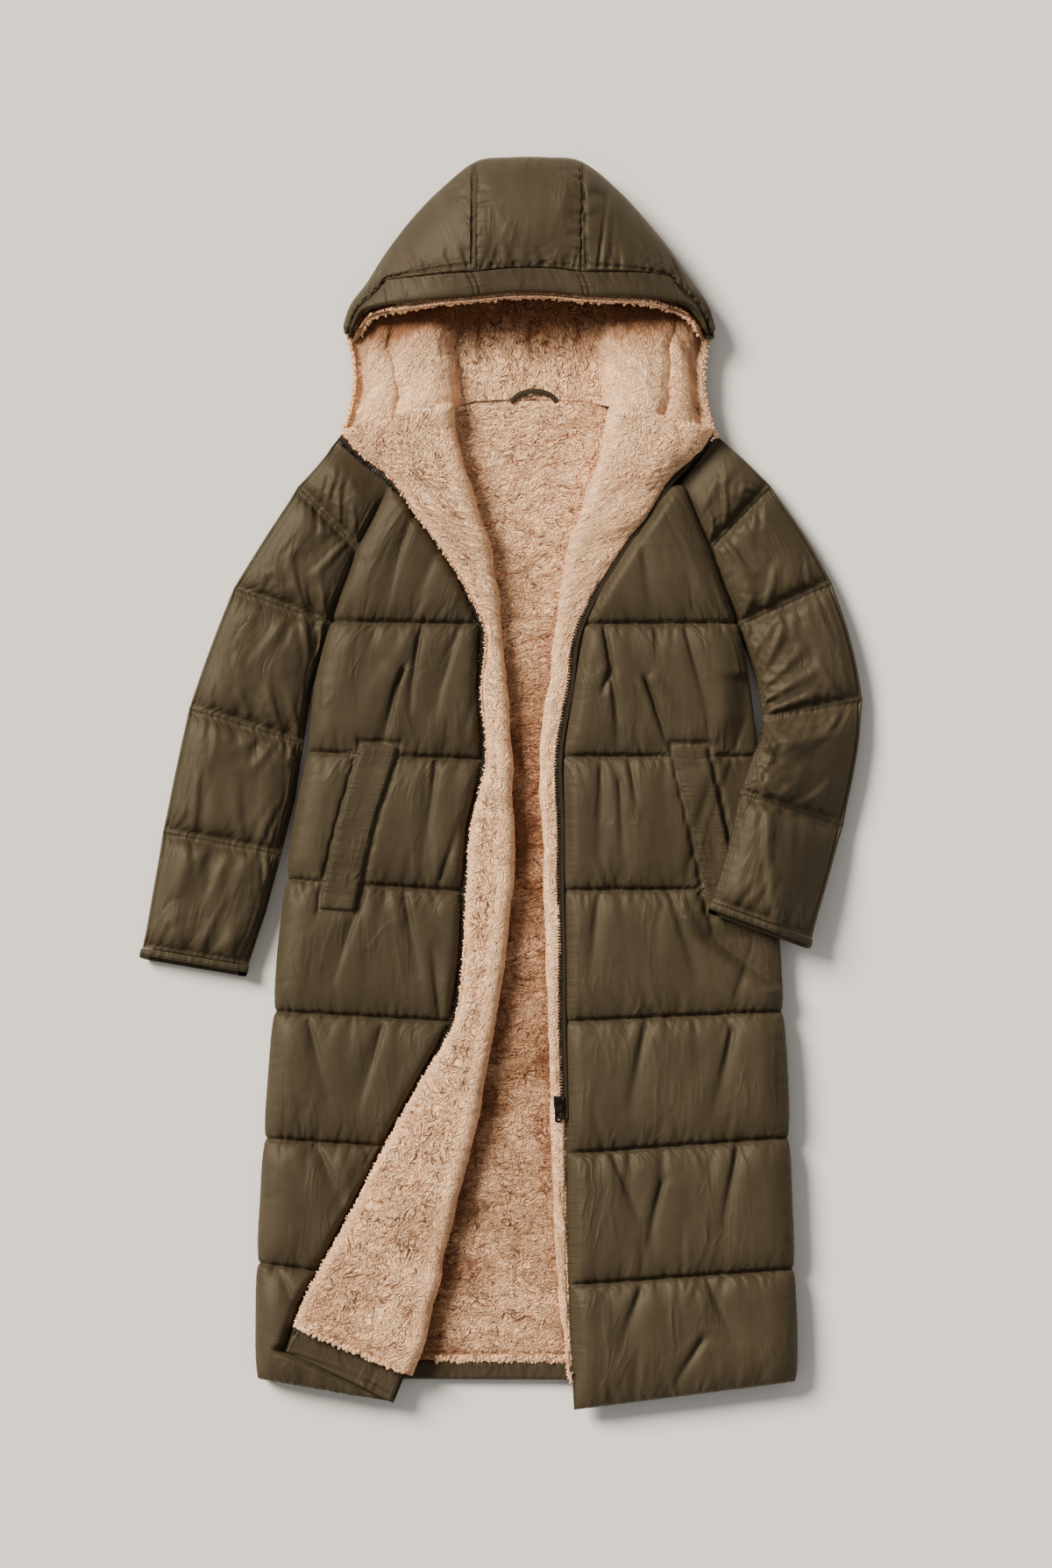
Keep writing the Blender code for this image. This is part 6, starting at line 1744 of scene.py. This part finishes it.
# Woven polyester tape dyed dark olive brown: dull, ribbed across by its 1 mm weft.
def woven_tape(name, deep_hex, light_hex):
    """Colour and bump of the weft: sine bands of 1 mm across the tape, slightly uneven."""
    made, tree, shader = new_material(name)
    rib = add_node(tree, "TexWave", {"Vector": add_node(tree, "UVMap", uv_map="cloth")["UV"],
                                     "Scale": 150.0, "Distortion": 0.8, "Detail": 2.0},
                   bands_direction="Y")["Fac"]
    bump = add_node(tree, "Bump", {"Height": rib, "Strength": 0.4, "Distance": 0.0004})
    set_inputs(tree, shader, {
        "Base Color": ramp(tree, rib, (0.0, deep_hex), (1.0, light_hex)),
        "Normal": bump["Normal"], "Roughness": 0.85, "Specular IOR Level": 0.15})
    return made


tape_cloth = woven_tape("dark_zip_tape", "#1a130a", "#382e1f")
loop_cloth = woven_tape("dark_olive_loop_tape", "#2c2417", "#3d3322")
# Brass, blackened and waxed: near black, flecked lighter by a noise as painted glints.
metal = mottled("blackened_brass", 420.0, 3.0, ((0.5, "#1b1712"), (0.9, "#85796a")),
                (0.3, 0.5), 0.9)
# Nickel plate, left bright and lightly scratched.
nickel = mottled("bright_nickel", 300.0, 3.0, ((0.0, "#b9b2a6"), (1.0, "#f2eee6")), 0.35, 0.9)


def tape_and_teeth(name, node, table, heights, inward, made_of):
    """Tape between its sewn side and its toothed edge, and one tooth every pitch on it."""
    count = round((made_of["to"] - made_of["from"]) * 60)
    channel = np.linspace(made_of["from"], made_of["to"], count)
    edge = ends(table, channel, "edge")
    way = unit(np.gradient(edge, axis=0))
    beside = np.stack([-way[:, 1], way[:, 0]], -1) * inward
    level = np.maximum(straight(heights, FLEECE_COLUMNS, "edge_z", channel) + made_of["above"],
                       FRONT_SHELL_Z + SEAM_THICK + TAPE_CLEAR)[:, None]
    parts = np.linspace(0, 1, TAPE_COLUMNS)
    sewn_side = made_of["sewn_side"] * (1 - 0.45 * eased((channel - 7.25) / 0.3))[:, None]
    reach = sewn_side + (made_of["teeth_side"] - sewn_side) * parts[None]
    plan = edge[:, None] + beside[:, None] * reach[..., None]
    dip = TAPE_DIP * np.sin(channel * 40)[:, None] * parts[None]
    outer = layer(plan, level + TAPE_THICK + dip)
    facing = -inward if made_of["teeth_side"] > made_of["sewn_side"] else inward
    strip = cloth_piece(name, wrapped(outer, layer(plan, level + dip), 1), facing, tape_cloth,
                        "dark_zip_tape")
    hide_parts(node)
    spots, ways = resampled(outer[:, -1], TOOTH_PITCH)
    out = np.cross(ways, (0, 0, 1.0))
    sign = np.sign(((outer[:, -1] - outer[:, 0]).mean(axis=0) * out.mean(axis=0)).sum())
    out = out * sign
    up = np.cross(out, ways) * sign
    half = np.array(TOOTH_OUTLINE)
    outline = np.concatenate([half * (1, -1), half[::-1]])
    flat = (spots[:, None] + out[:, None] * outline[None, :, :1]
            + ways[:, None] * outline[None, :, 1:])
    lifted = up[:, None] * TOOTH_HALF_HEIGHT * np.sign(up[:, None, 2:])
    sunk = np.array([0, 0, TAPE_THICK / 2])
    points = np.stack([flat - lifted - sunk, flat + (lifted - sunk)], 1)
    caps = np.array([(a, a + 1, 6 - a, 7 - a) for a in range(3)])
    one = np.concatenate([tube_faces(8, 2), caps[:, ::-1], caps + 8])
    faces = repeated(one, len(spots), 16)
    teeth = mesh_piece(name + "_teeth", points, faces[:, ::-1] if sign < 0 else faces, metal,
                       np.zeros((len(points) * 16, 2)))
    teeth.data.polygons.foreach_set("use_smooth", np.zeros(len(faces), dtype=bool))
    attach(teeth, "coat")


tape_and_teeth("right_tape", "zip_tape_right", FRONT_RIGHT, FLEECE_RIGHT, 1, TAPE_RIGHT)
tape_and_teeth("left_tape", "zip_tape_left", FRONT_LEFT, FLEECE_LEFT, -1, TAPE_LEFT)

# Two bright nickel stops crimped at the head of the left tape
head = np.column_stack([ends(FRONT_LEFT, STOP_CHANNELS, "edge"),
                        straight(FLEECE_LEFT, FLEECE_COLUMNS, "edge_z", STOP_CHANNELS) + STOP_UP])
round_by, high_by = np.meshgrid(np.linspace(0, 2 * np.pi, 13)[:-1], np.linspace(0.05, 1.5, 5))
spots = np.stack([np.cos(round_by) * np.cos(high_by), np.sin(round_by) * np.cos(high_by),
                  np.sin(high_by)], -1) * STOP_SIZE
tip = [(48 + a, 49 + a, 58 - a, 59 - a) for a in range(5)]
base = [(a, (11 - a) % 12, 10 - a, a + 1) for a in range(5)]
stop_faces = repeated(np.concatenate([tube_faces(12, 5), tip, base]), len(head), 60)
stop_piece = mesh_piece("zip_top_stops", head[:, None] + spots.reshape(-1, 3), stop_faces, nickel)
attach(stop_piece, "coat")
for node in ("zip_slider", "zip_pull"):
    part = bpy.data.objects[node]
    for slot in part.material_slots:
        slot.material = metal
    bevel = part.modifiers.new("worn edges", "BEVEL")
    bevel.width = 0.00035
    bevel.segments = 2
    bevel.limit_method = "ANGLE"


# ---------------------------------------------------------------- pocket welts
# Each slanted pocket mouth is closed by a folded strip of the shell nylon, lightly filled,
# topstitched on the front and caught down at both ends.
WELT_THICK = 1.3
WELT_ROWS = 90
WELT_STEPS = 19
WELT_PUCKERS = ((9, 30), (8, 24), (2.2, 4.5), (0.5, 1.6))
WELT_STITCHES = 2.5
STITCH_PITCH = 3.3
STITCH_HALF = 0.28
STITCH_LIFT = 0.15
# Rings of one stitch: place along it, size and how much higher it lies
STITCH_RINGS = ((-1.15, 0.35, -0.35), (-0.575, 1, 0.1), (0.575, 1, 0.1), (1.15, 0.35, -0.35))


def sampled(front, rows, parts):
    """Points of a front's face at row numbers and parts of the way across."""
    i = np.interp(rows, front["channel"], np.arange(len(front["channel"])))
    j = np.interp(parts, front["across"], np.arange(len(front["across"])))
    a, b = np.floor(i).astype(int), np.floor(j).astype(int)
    a, b = np.minimum(a, len(front["channel"]) - 2), np.minimum(b, len(front["across"]) - 2)
    s, t = (i - a)[..., None], (j - b)[..., None]
    face = front["face"]
    return ((face[a, b] * (1 - t) + face[a, b + 1] * t) * (1 - s)
            + (face[a + 1, b] * (1 - t) + face[a + 1, b + 1] * t) * s)


def smoothed(values, reach):
    """Running mean over 2 reach + 1 rows, applied three times."""
    for _ in range(3):
        padded = np.pad(values, ((reach, reach), (0, 0)), mode="edge")
        total = np.pad(padded.cumsum(axis=0), ((1, 0), (0, 0)))
        values = (total[2 * reach + 1:] - total[:-2 * reach - 1]) / (2 * reach + 1)
    return values


# Polyester thread dyed to match, 0.4 mm thick, drawn a little coarser so that it shows.
thread = mottled("dark_olive_thread", 900.0, 2.0, ((0.0, "#2a2114"), (1.0, "#4a3d27")), 0.6)


def stitches(name, lines):
    """Short four-sided threads, one a pitch, pointed at both ends, along each line."""
    spots, ways = (np.concatenate(both)
                   for both in zip(*(resampled(line, STITCH_PITCH) for line in lines)))
    across = unit(np.cross(ways, (0, 0, 1.0)))
    up = np.cross(across, ways)
    points = np.stack([spots + ways * place + across * a * size * STITCH_HALF
                       + up * (b * size * STITCH_HALF + STITCH_LIFT + drop)
                       for place, size, drop in STITCH_RINGS for a, b in AROUND], 1)
    one = np.concatenate([tube_faces(4, 4), [[3, 2, 1, 0], [12, 13, 14, 15]]])[:, ::-1]
    made = mesh_piece(name, points, repeated(one, len(spots), 16), thread)
    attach(made, "coat")


def welt(name, node, table, front, facing, seed):
    """Pocket welt: the panel's own points, its dips filled, moved out and rounded off."""
    rows = np.linspace(table[0][0], table[1][0], WELT_ROWS)
    first, last = (straight(table, WELT_COLUMNS, which, rows)[:, None]
                   for which in ("outer", "inner"))
    parts = first + (last - first) * crowded(WELT_STEPS, 0.08)[None]
    base = sampled(front, rows[:, None] + parts * 0, parts)
    across, up = np.moveaxis(cloth_map(base), -1, 0)
    width = across[:, -1:]
    to_side = np.minimum(across, width - across)
    near = np.minimum(to_side, np.minimum(up, up.max() - up))
    marks = crosswise(puckers(
        np.random.default_rng(seed), [(0, True, False), (width.mean(), False, True)], up.max(),
        *WELT_PUCKERS))
    top, under = base.copy(), base.copy()
    level = np.maximum(smoothed(base[..., 2], 14), base[..., 2] + 0.4)
    top[..., 2] = np.maximum(level + 0.5 + WELT_THICK * rounded(near / 3.0)
                             + creased(up, across, marks) * np.clip(near / 2, 0, 1),
                             base[..., 2] + 0.4)
    under[..., 2] = base[..., 2] - 0.6
    fine = refined(top)
    made = shell_piece(name, wrapped(fine, refined(under), 1), facing, None,
                       edged(refined(np.abs(to_side - WELT_STITCHES))))
    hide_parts(node)
    return [fine[:, 6], fine[:, -7], fine[5, 4:-4], fine[-6, 4:-4]]


stitches("welt_stitches", welt("right_welt", "pocket_welt_right", WELT_RIGHT, right, 1, 91)
         + welt("left_welt", "pocket_welt_left", WELT_LEFT, left, -1, 92))


# ---------------------------------------------------------------- turned corner, hang loop
# The foot of the turned-back front shows its own hem, a folded strip of the shell cloth.
# A loop of the zip's tape is sewn in at the middle of the neck.
CORNER_ROWS = (0.0, 0.264)
CORNER_PUCKERS = ((12, 30), (8, 22), (2.5, 4), (0.4, 1.2))
CORNER_CREASES = [(3, 12, 9, 100, 3.0, 2.0), (9, 100, 2, 170, 3.0, 2.2),
                  (30, 6, 12, 0, 1.6, 2.4), (30, 60, 12, 78, 3.0, 1.4)]
LOOP_COLUMNS = ("knot", "x", "y")
LOOP_PATH = ((0, 10.0, 447.0), (1, 17.0, 454.5), (2, 27.0, 459.0), (3, 38.0, 460.5),
             (4, 48.0, 459.0), (5, 58.0, 454.5), (6, 64.0, 447.0))
LOOP_STEPS = 60
LOOP_WIDTH = 6.0
LOOP_Z = 18.4
LOOP_THICK = 0.6
LOOP_BOW = 3.0

corner_rows = np.linspace(*CORNER_ROWS, 18)
edge = ends(FRONT_RIGHT, corner_rows, "edge")
centre = fold_line(FRONT_RIGHT, FLEECE_RIGHT, corner_rows)[0]
centre[:, 0] += 2.5
plan = between(edge[:, None], centre[:, None], np.linspace(0, 1, 64)[None])
across, up = np.moveaxis(cloth_map(layer(plan, 0)), -1, 0)
corner_z = FRONT_SHELL_Z + EDGE_THICK + GAP + TURNED_THICK + GAP
near = np.minimum(np.minimum(up, up.max() - up + 4), np.minimum(across, across[:, -1:] - across))
marks = CORNER_CREASES + puckers(np.random.default_rng(97), [(up.max(), False, True)],
                                 across.max(), *CORNER_PUCKERS)
top = layer(plan, corner_z + HEM_FACING_THICK * rounded(near / 3)
            + creased(across, up, marks) * np.clip(near / 2, 0, 1))
top[..., 2] = np.maximum(top[..., 2], corner_z + 0.2)
corner = shell_piece("corner_hem_facing", wrapped(refined(top), refined(layer(plan, corner_z)), 1),
                     1, edged(refined(np.abs(up.max() - up - 3.0))))
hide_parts("hem_facing_right")

loop_at = np.linspace(0, len(LOOP_PATH) - 1, LOOP_STEPS)
loop_line = np.stack([read(LOOP_PATH, LOOP_COLUMNS, axis, loop_at) for axis in "xy"], -1)
loop_way = unit(np.gradient(loop_line, axis=0))
loop_side = np.stack([-loop_way[:, 1], loop_way[:, 0]], -1)
loop_parts = np.linspace(-0.5, 0.5, 7) * LOOP_WIDTH
plan = loop_line[:, None] + loop_side[:, None] * loop_parts[None, :, None]
crown = rounded((LOOP_WIDTH / 2 - np.abs(loop_parts)) / 1.5)[None]
bow = LOOP_BOW * np.sin(np.pi * np.linspace(0, 1, LOOP_STEPS))[:, None]
loop = cloth_piece("neck_loop", wrapped(layer(plan, LOOP_Z + LOOP_THICK + crown + bow),
                                        layer(plan, LOOP_Z + bow), 1), -1, loop_cloth,
                   "dark_zip_tape")
long = lengths(loop_line, 0)
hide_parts("hang_loop")
